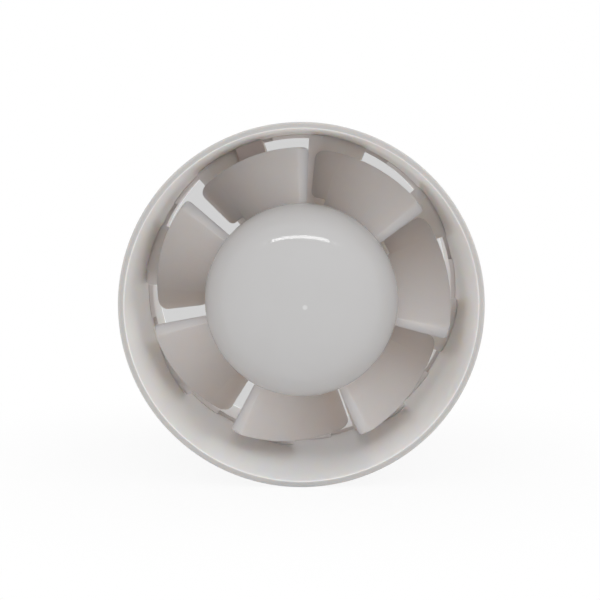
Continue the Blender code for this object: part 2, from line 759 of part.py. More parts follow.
def make_terminal_block(parent):
    sizes = (BLOCK_LENGTH, BLOCK_WIDTH, BLOCK_HEIGHT)
    block = box("terminal_block", sizes, (0.0, 0.0, BLOCK_MIDDLE))
    edges = block.modifiers.new("edges", "BEVEL")
    edges.width = BLOCK_EDGE
    edges.segments = 1
    for side in (-1, 1):
        way = rod("way_%d" % side, WAY_BORE_RADIUS, -BLOCK_WIDTH, BLOCK_WIDTH, HOLE_STEPS,
                  collection=CUTTERS)
        across = Matrix.Rotation(math.radians(90.0), 4, "X")
        way.matrix_world = Matrix.Translation((side * WAY_OFFSET, 0.0, BLOCK_MIDDLE)) @ across
        cut(block, way)
        for end in (-1, 1):
            spot = (side * WAY_OFFSET, end * WELL_OFFSET)
            name = "well_%d_%d" % (side, end)
            well_end = BLOCK_REAR - CUT_MARGIN
            cut(block, rod(name, WELL_RADIUS, well_end, BLOCK_MIDDLE, HOLE_STEPS, spot, CUTTERS))
    start = BLOCK_REAR - CUT_MARGIN
    hole = SCREW_RADIUS + FIT_GAP
    end = BLOCK_FRONT + CUT_MARGIN
    cut(block, rod("block_hole", hole, start, end, HOLE_STEPS, collection=CUTTERS))
    sink = SCREW_HEAD_RADIUS + FIT_GAP
    seat = SUNK_HEAD_REAR + SCREW_HEAD_HEIGHT + FIT_GAP
    cut(block, rod("block_sink", sink, start, seat, RING_STEPS, collection=CUTTERS))
    block = applied(block)
    turn_in_cup(block)
    return finished(block, "cream_plastic", TERMINAL_CREAM, parent)


def turn_in_cup(piece):
    bpy.context.view_layer.update()
    piece.matrix_world = Matrix.Rotation(BLOCK_TURN, 4, "Z") @ piece.matrix_world
    return piece


def make_terminal_screws(parent):
    radius = WELL_RADIUS - FIT_GAP
    screw_front = SUNK_HEAD_REAR + CLAMP_SCREW_LENGTH
    screws = []
    for side in (-1, 1):
        for end in (-1, 1):
            spot = (side * WAY_OFFSET, end * WELL_OFFSET)
            name = "terminal_screw_%d" % (len(screws) + 1)
            screw = rod(name, radius, SUNK_HEAD_REAR, screw_front, SCREW_STEPS, spot)
            screws.append(turn_in_cup(screw))
    return finished_each(screws, "steel", SHEET_STEEL, parent)


def make_terminal_block_screw(parent):
    """It reaches through the block to the face of the cup's floor."""
    screw = screw_solid("terminal_block_screw", SUNK_HEAD_REAR, BLOCK_FRONT)
    return finished(screw, "steel", SHEET_STEEL, parent)


def make_motor_leads(parent):
    """Two insulated leads from the block, through the floor and the shield, to the coils."""
    coil_end = STACK_REAR - coil_overhang() - FIT_GAP - LEAD_RADIUS
    start_y = -BLOCK_WIDTH / 2 + UNION_BITE
    hole = polar(SHIELD_VENT_CIRCLE, LEAD_HOLE_ANGLE)
    coil_radius = COIL_START + COIL_DEPTH / 2
    leads = []
    for side, coil_angle in zip((1, -1), LEAD_COIL_ANGLES):
        start = turned_about([(side * WAY_OFFSET, start_y)], BLOCK_TURN)[0]
        bend = (side * (WAY_OFFSET - LEAD_CONVERGE), start_y - LEAD_REACH)
        leave = turned_about([bend], BLOCK_TURN)[0]
        passing = (hole[0] + side * LEAD_SPREAD, hole[1] + side * LEAD_SPREAD)
        end = polar(coil_radius, coil_angle)
        points = [
            (*start, BLOCK_MIDDLE),
            (*leave, BLOCK_MIDDLE),
            ((leave[0] + passing[0]) / 2, (leave[1] + passing[1]) / 2 - LEAD_RADIUS, BLOCK_MIDDLE),
            (*passing, FLOOR_REAR),
            (*passing, REAR_SHIELD + SHIELD_PLATE),
            ((passing[0] + end[0]) / 2, (passing[1] + end[1]) / 2, coil_end - LEAD_RADIUS),
            (*end, coil_end),
        ]
        leads.append(tube("motor_lead_%d" % (len(leads) + 1), points, LEAD_RADIUS))
    return finished_each(leads, "blue_insulation", LEAD_BLUE, parent)


def make_thermal_fuse(parent):
    z = STACK_REAR - coil_overhang() - FIT_GAP - FUSE_RADIUS
    radius = COIL_START + COIL_DEPTH / 2
    half = FUSE_LENGTH / 2
    fuse = tube("thermal_fuse", [(-half, radius, z), (half, radius, z)], FUSE_RADIUS)
    return finished(fuse, "grey_plastic", GREY_PLASTIC, parent)


# Motor, standing pieces


def coil_overhang():
    """How far a coil reaches past the end of the stack."""
    return FIT_GAP + INSULATOR_WALL + FIT_GAP + COIL_BUILD


def make_end_shield(name, station, flipped, parent):
    """A bearing plate with four pillars. Its outer face is at its own z = 0."""
    boss = HOUSING_BORE + HOUSING_WALL
    profile = [
        (STACK_RADIUS, SHIELD_PLATE),
        (STACK_RADIUS, 0.0),
        (HOUSING_BORE, 0.0),
        (HOUSING_BORE, BEARING_LENGTH),
        (boss, BEARING_LENGTH),
        (boss, SHIELD_PLATE),
    ]
    shield = turned(name, profile, PLATE_STEPS)
    hole = BOLT_RADIUS + FIT_GAP
    pillar_end = SHIELD_PLATE + COIL_SPACE - FIT_GAP

    def pillar(number):
        spot = (BOLT_CIRCLE, 0.0)
        radius = hole + PILLAR_WALL
        label = "%s_pillar_%d" % (name, number)
        return rod(label, radius, UNION_BITE, pillar_end, HOLE_STEPS, spot, CUTTERS)

    def bore(number):
        spot = (BOLT_CIRCLE, 0.0)
        label = "%s_bore_%d" % (name, number)
        return rod(label, hole, -CUT_MARGIN, pillar_end + CUT_MARGIN, SCREW_STEPS, spot, CUTTERS)

    def vent(number):
        spot = (SHIELD_VENT_CIRCLE, 0.0)
        label = "%s_vent_%d" % (name, number)
        through = SHIELD_PLATE + CUT_MARGIN
        return rod(label, SHIELD_VENT_RADIUS, -CUT_MARGIN, through, HOLE_STEPS, spot, CUTTERS)

    def tapping(number):
        spot = (MOUNT_SCREW_CIRCLE, 0.0)
        label = "%s_tapping_%d" % (name, number)
        through = SHIELD_PLATE + CUT_MARGIN
        return rod(label, SCREW_RADIUS + FIT_GAP, -CUT_MARGIN, through, SCREW_STEPS, spot, CUTTERS)

    between_poles = math.pi / POLE_COUNT
    unite(shield, tool_set(name + "_pillars", around(pillar, BOLT_COUNT, between_poles)))
    holes = around(bore, BOLT_COUNT, between_poles) + around(vent, BOLT_COUNT, between_poles)
    cut(shield, tool_set(name + "_holes", holes + around(tapping, MOUNT_SCREW_COUNT)))
    shield = applied(shield)
    shield.location.z = station
    if flipped:
        shield.rotation_euler.x = math.pi
    return finished(shield, "sheet_steel", SHEET_STEEL, parent)


def make_bearing(name, rear, parent):
    profile = [
        (BEARING_RADIUS, rear + BEARING_LENGTH),
        (BEARING_RADIUS, rear),
        (HOLE_ON_SHAFT, rear),
        (HOLE_ON_SHAFT, rear + BEARING_LENGTH),
    ]
    return finished(turned(name, profile, RING_STEPS), "bronze", BRONZE, parent)


def make_bearing_retainers(parent):
    outer = HOUSING_BORE + RETAINER_OVERLAP
    loops = [circle(outer, RING_STEPS), circle(SHAFT_RADIUS + RETAINER_EYE, RING_STEPS)]
    rear_side = REAR_SHIELD - FIT_GAP
    front_side = FRONT_SHIELD + FIT_GAP
    washers = [
        plate("rear_bearing_retainer", loops, rear_side - RETAINER_THICKNESS, rear_side),
        plate("front_bearing_retainer", loops, front_side, front_side + RETAINER_THICKNESS),
    ]
    return finished_each(washers, "sheet_steel", SHEET_STEEL, parent)


def coil_half_width():
    return POLE_WIDTH / 2 + coil_overhang()


def pole_outline():
    """One quarter of the stator's inner outline, with its pole on +X."""
    half_pole = POLE_WIDTH / 2
    pocket = coil_half_width() + FIT_GAP
    quarter = math.pi / POLE_COUNT
    entry = math.asin(pocket / YOKE_FLAT)
    neck = math.asin(half_pole / SHOE_RADIUS)
    slot_half = SHADE_WIRE_RADIUS + FIT_GAP
    slot_floor = STATOR_BORE + SHADE_SLOT_DEPTH
    mouth = math.asin(slot_half / STATOR_BORE)
    floor = math.asin(slot_half / slot_floor)
    centre = (0.0, 0.0)
    points = arc(centre, YOKE_FLAT, -quarter, -entry, YOKE_STEPS)
    points += [(YOKE_FLAT, -pocket), (YOKE_FLAT, -half_pole)]
    points += arc(centre, SHOE_RADIUS, -neck, -SHOE_HALF_ANGLE, SHOE_STEPS)
    points += arc(centre, STATOR_BORE, -SHOE_HALF_ANGLE, SHADE_ANGLE - mouth, POLE_FACE_STEPS)
    points += [polar(slot_floor, SHADE_ANGLE - floor), polar(slot_floor, SHADE_ANGLE + floor)]
    points += arc(centre, STATOR_BORE, SHADE_ANGLE + mouth, SHOE_HALF_ANGLE, EDGE_STEPS)
    points += arc(centre, SHOE_RADIUS, SHOE_HALF_ANGLE, neck, SHOE_STEPS)
    points += [(YOKE_FLAT, half_pole), (YOKE_FLAT, pocket)]
    points += arc(centre, YOKE_FLAT, entry, quarter, YOKE_STEPS)[:-1]
    return points


def make_stator_core(parent):
    inner = []
    for index in range(POLE_COUNT):
        inner += turned_about(pole_outline(), math.tau * index / POLE_COUNT)
    loops = [circle(STACK_RADIUS, CUP_STEPS), inner]
    for index in range(BOLT_COUNT):
        angle = math.pi / POLE_COUNT + math.tau * index / BOLT_COUNT
        loops.append(circle(BOLT_RADIUS + FIT_GAP, SCREW_STEPS, polar(BOLT_CIRCLE, angle)))
    core = plate("stator_core", loops, STACK_REAR, STACK_FRONT)
    return finished(core, "laminated_steel", LAMINATED_STEEL, parent)


def around_poles(name, inner_x, inner_z, wall, depth, corner):
    """One rectangular sleeve round each pole neck, from the pole shoes outwards."""
    loops = [
        box_outline(inner_z + wall, inner_x + wall, corner, CORNER_STEPS),
        box_outline(inner_z, inner_x, SLEEVE_WINDOW_CORNER, EDGE_STEPS),
    ]

    def one(number):
        piece = plate("%s_%d" % (name, number), loops, 0.0, depth)
        bpy.context.view_layer.update()
        return radial(piece, 0.0, COIL_START, STACK_MIDDLE)

    return around(one, POLE_COUNT)


def make_pole_insulators(parent):
    inner_x = POLE_WIDTH / 2 + FIT_GAP
    inner_z = STACK_LENGTH / 2 + FIT_GAP
    sleeves = around_poles("pole_insulator", inner_x, inner_z, INSULATOR_WALL, COIL_DEPTH, INSULATOR_WALL)
    return finished_each(sleeves, "insulation", INSULATION, parent)


def make_stator_coils(parent):
    build_up = FIT_GAP + INSULATOR_WALL + FIT_GAP
    inner_x = POLE_WIDTH / 2 + build_up
    inner_z = STACK_LENGTH / 2 + build_up
    coils = around_poles("stator_coil", inner_x, inner_z, COIL_BUILD, COIL_DEPTH, COIL_CORNER)
    return finished_each(coils, "copper", COPPER, parent)


def make_shading_rings(parent):
    """A copper loop round one side of each pole shoe, through its slot and past its tip."""
    leg_radius = STATOR_BORE + SHADE_SLOT_DEPTH - FIT_GAP - SHADE_WIRE_RADIUS
    in_slot = polar(leg_radius, SHADE_ANGLE)
    past_tip = polar(leg_radius, SHOE_HALF_ANGLE + (FIT_GAP + SHADE_WIRE_RADIUS) / leg_radius)
    half = STACK_LENGTH / 2 + FIT_GAP + SHADE_WIRE_RADIUS
    low, high = STACK_MIDDLE - half, STACK_MIDDLE + half
    points = [(*in_slot, low), (*in_slot, high), (*past_tip, high), (*past_tip, low)]

    def one(number):
        return tube("shading_ring_%d" % number, points, SHADE_WIRE_RADIUS, closed=True)

    return finished_each(around(one, POLE_COUNT), "copper", COPPER, parent)


def make_motor_bolts(parent):
    head_rear = REAR_SHIELD - FIT_GAP - SCREW_HEAD_HEIGHT
    tip = FRONT_SHIELD + FIT_GAP + BOLT_NUT_HEIGHT + BOLT_RADIUS

    def one(number):
        bolt = screw_solid("motor_bolt_%d" % number, head_rear, tip, BOLT_RADIUS)
        bolt.location.x = BOLT_CIRCLE
        return bolt

    bolts = around(one, BOLT_COUNT, math.pi / POLE_COUNT)
    return finished_each(bolts, "steel", SHEET_STEEL, parent)


def make_motor_nuts(parent):
    rear = FRONT_SHIELD + FIT_GAP
    centre = (BOLT_CIRCLE, 0.0)
    hole = circle(BOLT_RADIUS + FIT_GAP, SCREW_STEPS, centre)
    loops = [circle(BOLT_NUT_RADIUS, HEX_SIDES, centre), hole]

    def one(number):
        return plate("motor_nut_%d" % number, loops, rear, rear + BOLT_NUT_HEIGHT)

    nuts = around(one, BOLT_COUNT, math.pi / POLE_COUNT)
    return finished_each(nuts, "steel", SHEET_STEEL, parent)


def make_motor_mount_screws(parent):
    head_rear = FLOOR_REAR - FIT_GAP - SCREW_HEAD_HEIGHT
    tip = REAR_SHIELD + SHIELD_PLATE + SCREW_RADIUS

    def one(number):
        screw = screw_solid("motor_mount_screw_%d" % number, head_rear, tip)
        screw.location.x = MOUNT_SCREW_CIRCLE
        return screw

    return finished_each(around(one, MOUNT_SCREW_COUNT), "steel", SHEET_STEEL, parent)


# Motor, turning pieces


def make_motor_shaft(parent):
    rear = REAR_SHIELD - SHAFT_REAR_STUB
    profile = [
        (0.0, SHAFT_FRONT),
        (SHAFT_RADIUS - SHAFT_CHAMFER, SHAFT_FRONT),
        (SHAFT_RADIUS, SHAFT_FRONT - SHAFT_CHAMFER),
        (SHAFT_RADIUS, rear + SHAFT_CHAMFER),
        (SHAFT_RADIUS - SHAFT_CHAMFER, rear),
        (0.0, rear),
    ]
    return finished(turned("motor_shaft", profile, RING_STEPS), "steel", SHEET_STEEL, parent)


def make_rotor_core(parent):
    loops = [circle(ROTOR_RADIUS, PLATE_STEPS), circle(HOLE_ON_SHAFT, RING_STEPS)]
    for index in range(CAGE_BARS):
        centre = polar(CAGE_BAR_CIRCLE, math.tau * index / CAGE_BARS)
        loops.append(circle(CAGE_BAR_RADIUS + FIT_GAP, BAR_STEPS, centre))
    core = plate("rotor_core", loops, STACK_REAR, STACK_FRONT)
    return finished(core, "laminated_steel", LAMINATED_STEEL, parent)


def make_rotor_cage(parent):
    outer = CAGE_BAR_CIRCLE + CAGE_BAR_RADIUS + FIT_GAP
    loops = [circle(outer, PLATE_STEPS), circle(outer - CAGE_RING_WIDTH, RING_STEPS)]
    rear_face = STACK_REAR - FIT_GAP
    front_face = STACK_FRONT + FIT_GAP
    cage = plate("rotor_cage", loops, rear_face - CAGE_RING_THICKNESS, rear_face)
    unite(cage, plate("front_cage_ring", loops, front_face, front_face + CAGE_RING_THICKNESS, CUTTERS))

    def bar(number):
        name = "cage_bar_%d" % number
        spot = (CAGE_BAR_CIRCLE, 0.0)
        start = rear_face - UNION_BITE
        return rod(name, CAGE_BAR_RADIUS, start, front_face + UNION_BITE, BAR_STEPS, spot, CUTTERS)

    unite(cage, tool_set("cage_bars", around(bar, CAGE_BARS)))
    return finished(cage, "aluminium", ALUMINIUM, parent)


def make_rotor_spacers(parent):
    loops = [circle(HOLE_ON_SHAFT + SPACER_WALL, RING_STEPS), circle(HOLE_ON_SHAFT, RING_STEPS)]
    bearing_face = REAR_SHIELD + BEARING_LENGTH
    front_bearing_face = FRONT_SHIELD - BEARING_LENGTH
    spacers = [
        plate("rear_rotor_spacer", loops, bearing_face + FIT_GAP, STACK_REAR - FIT_GAP),
        plate("front_rotor_spacer", loops, STACK_FRONT + FIT_GAP, front_bearing_face - FIT_GAP),
    ]
    return finished_each(spacers, "grey_plastic", GREY_PLASTIC, parent)


# Impeller and what holds it


def blade_angle(share):
    return BLADE_FRONT_ANGLE + BLADE_SWEEP * (share + BLADE_CAMBER * share * (1.0 - share))


def blade_outline():
    """The flat blank: x runs back from the leading edge and y is the radius."""
    root = HUB_OUTER_RADIUS - BLADE_ROOT_BITE
    hub_end = BLADE_FRONT - HUB_REAR - UNION_BITE
    corners = [(0.0, root, 0.0)]
    if hub_end < BLADE_LENGTH - BLADE_ROOT_CORNER:
        free_root = HUB_OUTER_RADIUS + BLADE_ROOT_NOTCH
        corners += [(hub_end, root, 0.0), (hub_end, free_root, 0.0)]
        corners += [(BLADE_LENGTH, free_root, BLADE_ROOT_CORNER)]
    else:
        corners += [(BLADE_LENGTH, root, 0.0)]
    corners += [
        (BLADE_LENGTH, BLADE_TIP_RADIUS, BLADE_TIP_CORNER),
        (0.0, BLADE_TIP_RADIUS, BLADE_FRONT_CORNER),
    ]
    return rounded(corners)


def make_impeller(parent):
    hub = [
        (HUB_OUTER_RADIUS, HUB_FRONT),
        (HUB_OUTER_RADIUS, HUB_REAR),
        (HUB_INNER_RADIUS, HUB_REAR),
        (HUB_INNER_RADIUS, BOSS_FRONT - HUB_WEB),
        (HOLE_ON_SHAFT + BOSS_WALL, BOSS_FRONT - HUB_WEB),
        (HOLE_ON_SHAFT + BOSS_WALL, BOSS_REAR),
        (HOLE_ON_SHAFT, BOSS_REAR),
        (HOLE_ON_SHAFT, BOSS_FRONT),
        (HUB_INNER_RADIUS, BOSS_FRONT),
        (HUB_INNER_RADIUS, HUB_FRONT),
    ]
    impeller = turned("impeller", hub, HUB_STEPS)

    def one(number):
        name = "blade_%d" % number
        return wrapped_plate(name, blade_outline(), BLADE_FRONT, blade_angle, BLADE_STRIPS,
                             BLADE_THICKNESS)

    unite(impeller, tool_set("blades", around(one, BLADE_COUNT)))
    return finished(impeller, "white_plastic", WHITE_PLASTIC, parent)


def dome_curve(radius, height, base, count):
    """Quarter of a slightly squared ellipse, from the apex down to the base."""
    points = []
    for step in range(count + 1):
        angle = math.pi / 2 * (1.0 - step / count)
        across = math.cos(angle) ** (2 / DOME_SHOULDER)
        up = math.sin(angle) ** (2 / DOME_SHOULDER)
        points.append((radius * across, base + height * up))
    points[0] = (0.0, base + height)
    points[-1] = (radius, base)
    return points


def make_hub_dome(parent):
    base = HUB_FRONT + FIT_GAP
    lip_outer = HUB_INNER_RADIUS - FIT_GAP
    lip_inner = lip_outer - DOME_LIP
    lip_end = BOSS_FRONT + FIT_GAP
    inside = dome_curve(lip_inner, DOME_HEIGHT - DOME_WALL, base, DOME_INNER_STEPS)
    profile = dome_curve(DOME_RADIUS, DOME_HEIGHT, base, DOME_STEPS)
    profile += [(lip_outer, base), (lip_outer, lip_end), (lip_inner, lip_end)]
    profile += inside[::-1]
    dome = turned("hub_dome", profile, HUB_STEPS)
    return finished(dome, "glossy_white", GLOSSY_WHITE, parent)


def make_impeller_washer(parent):
    loops = [circle(HOLE_ON_SHAFT + SHAFT_WASHER_WALL, RING_STEPS), circle(HOLE_ON_SHAFT, RING_STEPS)]
    washer = plate("impeller_washer", loops, WASHER_REAR, WASHER_REAR + SHAFT_WASHER_THICKNESS)
    return finished(washer, "steel", SHEET_STEEL, parent)


def make_impeller_nut(parent):
    loops = [circle(SHAFT_NUT_RADIUS, HEX_SIDES), circle(HOLE_ON_SHAFT, RING_STEPS)]
    nut = plate("impeller_nut", loops, SHAFT_NUT_REAR, SHAFT_NUT_REAR + SHAFT_NUT_HEIGHT)
    return finished(nut, "steel", SHEET_STEEL, parent)


def make_fan():
    fan_axis = make_empty("fan_axis")
    impeller_axis = make_empty("impeller_axis", fan_axis)

    make_duct_sleeve(fan_axis)
    make_cable_grommet(fan_axis)
    make_guide_vane_frame(fan_axis)
    make_wire_channel_lid(fan_axis)
    make_motor_cup_cover(fan_axis)
    make_cover_screws(fan_axis)
    make_terminal_block(fan_axis)
    make_terminal_screws(fan_axis)
    make_terminal_block_screw(fan_axis)
    make_motor_leads(fan_axis)
    make_thermal_fuse(fan_axis)
    make_end_shield("rear_end_shield", REAR_SHIELD, False, fan_axis)
    make_end_shield("front_end_shield", FRONT_SHIELD, True, fan_axis)
    make_bearing("rear_bearing", REAR_SHIELD, fan_axis)
    make_bearing("front_bearing", FRONT_SHIELD - BEARING_LENGTH, fan_axis)
    make_bearing_retainers(fan_axis)
    make_stator_core(fan_axis)
    make_pole_insulators(fan_axis)
    make_stator_coils(fan_axis)
    make_shading_rings(fan_axis)
    make_motor_bolts(fan_axis)
    make_motor_nuts(fan_axis)
    make_motor_mount_screws(fan_axis)

    make_motor_shaft(impeller_axis)
    make_rotor_core(impeller_axis)
    make_rotor_cage(impeller_axis)
    make_rotor_spacers(impeller_axis)
    make_impeller(impeller_axis)
    make_hub_dome(impeller_axis)
    make_impeller_washer(impeller_axis)
    make_impeller_nut(impeller_axis)

    fan_axis.rotation_euler.x = math.pi / 2
    fan_axis.location.y = SLEEVE_LENGTH / 2


make_fan()
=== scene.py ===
"""Looks of an in-line axial duct fan in white plastic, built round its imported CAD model.

The mouldings are drawn on a bench frame whose +Z is the fan's axis. Stations along it start at
zero at the discharge end and rise towards the intake. finished() turns each piece into the
model's frame. Sizes are in metres.
"""

import json
import math

import bmesh
import bpy
from mathutils import Matrix, Vector


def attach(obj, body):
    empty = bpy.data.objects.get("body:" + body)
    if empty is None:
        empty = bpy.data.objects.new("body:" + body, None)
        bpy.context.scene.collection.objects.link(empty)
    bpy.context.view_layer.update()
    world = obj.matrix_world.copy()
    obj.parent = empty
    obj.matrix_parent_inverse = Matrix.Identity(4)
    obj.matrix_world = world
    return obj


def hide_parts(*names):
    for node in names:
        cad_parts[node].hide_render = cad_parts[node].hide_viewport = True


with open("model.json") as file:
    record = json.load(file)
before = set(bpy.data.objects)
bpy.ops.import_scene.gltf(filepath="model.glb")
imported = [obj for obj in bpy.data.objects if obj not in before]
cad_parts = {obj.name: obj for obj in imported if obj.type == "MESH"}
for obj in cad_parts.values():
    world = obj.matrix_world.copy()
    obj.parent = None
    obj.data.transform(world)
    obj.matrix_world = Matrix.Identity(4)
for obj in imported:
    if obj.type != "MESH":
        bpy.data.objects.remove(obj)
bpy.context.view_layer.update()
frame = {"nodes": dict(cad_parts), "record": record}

SCENE = bpy.context.scene
MM = 0.001

# Camera, as the photo was taken
FRONT_CENTRE = Vector((0.0, -44.0 * MM, 0.0))
CAMERA_DISTANCE = 371.5 * MM
CAMERA_ELEVATION = math.radians(5.6)
CAMERA_AZIMUTH = math.radians(0.22)
CAMERA_LENS = 82.72
CAMERA_AIM = Vector((-0.33 * MM, 0.0, 1.86 * MM))  # from the front's centre

# Duct sleeve
SLEEVE_LENGTH = 88.0 * MM
SLEEVE_RADIUS = 49.5 * MM
SLEEVE_BORE = 47.7 * MM
RIM_ROUND = 0.45 * MM

# Guide vane frame
CUP_RADIUS = 24.3 * MM
CUP_BORE = 22.7 * MM
CUP_FRONT = 46.3 * MM
CUP_FLOOR_REAR = 21.4 * MM
CUP_FLOOR_FRONT = 22.9 * MM
FRAME_REAR = 13.6 * MM
RING_RADIUS = 47.68 * MM
RING_BORE = 46.7 * MM
RING_REAR = 24.5 * MM
RING_FRONT = 30.0 * MM
NOTCH_ANGLE = math.radians(60.9)
NOTCH_WIDTH = 7.9 * MM
NOTCH_REAR = 26.5 * MM
SNAP_COUNT = 4
SNAP_ANGLE = math.radians(38.2)
SNAP_RADIUS = 1.2 * MM
SNAP_REACH = 48.6 * MM
VANE_COUNT = 8
VANE_TIP = 47.66 * MM
VANE_FRONT = 39.6 * MM
VANE_LENGTH = 11.1 * MM
VANE_THICKNESS = 1.3 * MM
VANE_FRONT_ANGLE = math.radians(85.0)
VANE_SWEEP = math.radians(-19.0)
CHANNEL_ANGLE = math.radians(110.0)
CHANNEL_WIDTH = 8.4 * MM
CHANNEL_WALL = 1.2 * MM
CHANNEL_END = 47.1 * MM
CHANNEL_FRONT = 37.6 * MM
WIRE_HOLE_RADIUS = 2.1 * MM
PAD_CIRCLE = 16.0 * MM
POST_CIRCLE = 18.5 * MM
POST_RADIUS = 2.3 * MM
POST_ANGLES = (math.radians(45.0), math.radians(225.0))

# Impeller and dome
BLADE_COUNT = 7
BLADE_LENGTH = 22.4 * MM
BLADE_THICKNESS = 1.5 * MM
BLADE_TIP = 43.2 * MM
BLADE_FRONT = 65.0 * MM
BLADE_FRONT_ANGLE = math.radians(89.2)
BLADE_SWEEP = math.radians(45.1)
BLADE_CAMBER = 0.12
HUB_RADIUS = 26.9 * MM
HUB_BORE = 25.4 * MM
HUB_REAR = 47.1 * MM
HUB_FRONT = 66.9 * MM
BOSS_RADIUS = 6.0 * MM
BOSS_BORE = 2.8 * MM
BOSS_REAR = 56.2 * MM
BOSS_FRONT = 65.3 * MM
WEB_THICKNESS = 2.0 * MM
DOME_RADIUS = 27.5 * MM
DOME_BASE = 67.2 * MM
DOME_HEIGHT = 14.4 * MM
DOME_WALL = 1.5 * MM
DOME_SHOULDER = 2.5
DOME_LIP_RADIUS = 25.1 * MM
DOME_LIP_BORE = 23.9 * MM
DOME_LIP_REAR = 65.6 * MM

# Cup cover, its screws, the channel lid and the cable grommet
COVER_RADIUS = 22.4 * MM
COVER_REAR = 13.9 * MM
COVER_FRONT = 15.1 * MM
SCREW_RADIUS = 1.0 * MM
SCREW_HOLE_RADIUS = 1.3 * MM
SCREW_HEAD_RADIUS = 2.0 * MM
SCREW_HEAD_HEIGHT = 0.9 * MM
GROMMET_STATION = 25.5 * MM
GROMMET_BORE = 1.7 * MM
GROMMET_NECK = 2.6 * MM
GROMMET_FLANGE = 4.4 * MM
GROMMET_FLANGE_THICKNESS = 1.0 * MM
FIT_GAP = 0.3 * MM

ROUND_STEPS = 224
SMALL_STEPS = 48
WELD = 0.001 * MM
SINK = 0.02 * MM  # how far a fillet's foot is set into the wall it rises from
BITE = 0.4 * MM
SHARP_ANGLE = math.radians(32.0)
BENCH_TO_FAN = Matrix.Translation((0.0, SLEEVE_LENGTH / 2, 0.0)) @ Matrix.Rotation(math.pi / 2, 4, "X")


def make_camera():
    data = bpy.data.cameras.new("camera")
    data.lens = CAMERA_LENS
    data.sensor_width = 36.0
    data.clip_start = 0.01
    data.clip_end = 20.0
    camera = bpy.data.objects.new("camera", data)
    SCENE.collection.objects.link(camera)
    level = math.cos(CAMERA_ELEVATION)
    back = Vector((math.sin(CAMERA_AZIMUTH) * level, -math.cos(CAMERA_AZIMUTH) * level,
                   math.sin(CAMERA_ELEVATION)))
    camera.location = FRONT_CENTRE + back * CAMERA_DISTANCE
    target = FRONT_CENTRE + CAMERA_AIM
    camera.rotation_mode = "QUATERNION"
    camera.rotation_quaternion = (target - camera.location).to_track_quat("-Z", "Y")
    SCENE.camera = camera


make_camera()


def polar(radius, angle):
    return (radius * math.cos(angle), radius * math.sin(angle))


def outline(points):
    """A flat face in the XZ plane from points of radius, station and corner radius."""
    work = bmesh.new()
    verts = [work.verts.new((radius, 0.0, station)) for radius, station, _ in points]
    work.faces.new(verts)
    for vert, (_, _, corner) in zip(verts, points):
        if corner:
            round_corner(work, vert, corner)
    return work


def round_corner(work, vert, radius, segments=4):
    bmesh.ops.bevel(work, geom=[vert], offset=radius, offset_type="OFFSET", affect="VERTICES",
                    segments=segments, profile=0.5, material=-1)


def lathe(points, steps=ROUND_STEPS):
    """Turns an outline round the axis into one closed ring."""
    work = outline(points)
    bmesh.ops.delete(work, geom=work.faces[:], context="FACES_ONLY")
    bmesh.ops.spin(work, geom=work.verts[:] + work.edges[:], axis=(0.0, 0.0, 1.0),
                   cent=(0.0, 0.0, 0.0), angle=math.tau, steps=steps, use_merge=True)
    return cleaned(work)


def cleaned(work):
    bmesh.ops.remove_doubles(work, verts=work.verts, dist=WELD)
    on_axis = [edge for edge in work.edges if not edge.link_faces]
    bmesh.ops.delete(work, geom=on_axis, context="EDGES")
    bmesh.ops.recalc_face_normals(work, faces=work.faces)
    return work


def gathered(shapes):
    """Several shapes that stand apart, in one mesh."""
    whole = bmesh.new()
    for shape in shapes:
        mesh = bpy.data.meshes.new("bench")
        shape.to_mesh(mesh)
        shape.free()
        whole.from_mesh(mesh)
        bpy.data.meshes.remove(mesh)
    return whole


def boolean(body, tool, operation):
    """Unites two closed shapes, or cuts the second from the first."""
    objects = []
    for work in (body, tool):
        mesh = bpy.data.meshes.new("bench")
        work.to_mesh(mesh)
        work.free()
        obj = bpy.data.objects.new("bench", mesh)
        SCENE.collection.objects.link(obj)
        objects.append(obj)
    step = objects[0].modifiers.new("join", "BOOLEAN")
    step.object = objects[1]
    step.operation = operation
    step.solver = "EXACT"
    bpy.context.view_layer.update()
    seen = objects[0].evaluated_get(bpy.context.evaluated_depsgraph_get())
    result = bmesh.new()
    result.from_mesh(seen.to_mesh())
    seen.to_mesh_clear()
    for obj in objects:
        bpy.data.meshes.remove(obj.data)
    return result


def turned(work, angle):
    bmesh.ops.rotate(work, verts=work.verts, cent=(0.0, 0.0, 0.0), matrix=Matrix.Rotation(angle, 3, "Z"))
    return work


def moved(work, offset):
    bmesh.ops.translate(work, verts=work.verts, vec=offset)
    return work


def round_bar(radius, rear, front, steps=SMALL_STEPS):
    work = bmesh.new()
    bmesh.ops.create_cone(work, cap_ends=True, segments=steps, radius1=radius, radius2=radius,
                          depth=front - rear)
    return moved(work, (0.0, 0.0, (front + rear) / 2))


def block(size_x, size_y, rear, front, middle_x=0.0):
    work = bmesh.new()
    bmesh.ops.create_cube(work, size=1.0)
    bmesh.ops.scale(work, vec=(size_x, size_y, front - rear), verts=work.verts)
    return moved(work, (middle_x, 0.0, (front + rear) / 2))


def soften(work, radius, least_angle=math.radians(50.0), segments=3, keep=None):
    """Rounds the sharp edges of a shape."""
    edges = []
    for edge in work.edges:
        if len(edge.link_faces) == 2 and edge.calc_face_angle() > least_angle:
            if keep is None or keep(edge):
                edges.append(edge)
    bmesh.ops.bevel(work, geom=edges, offset=radius, offset_type="OFFSET", affect="EDGES",
                    segments=segments, profile=0.5, material=-1, clamp_overlap=True)
    return work


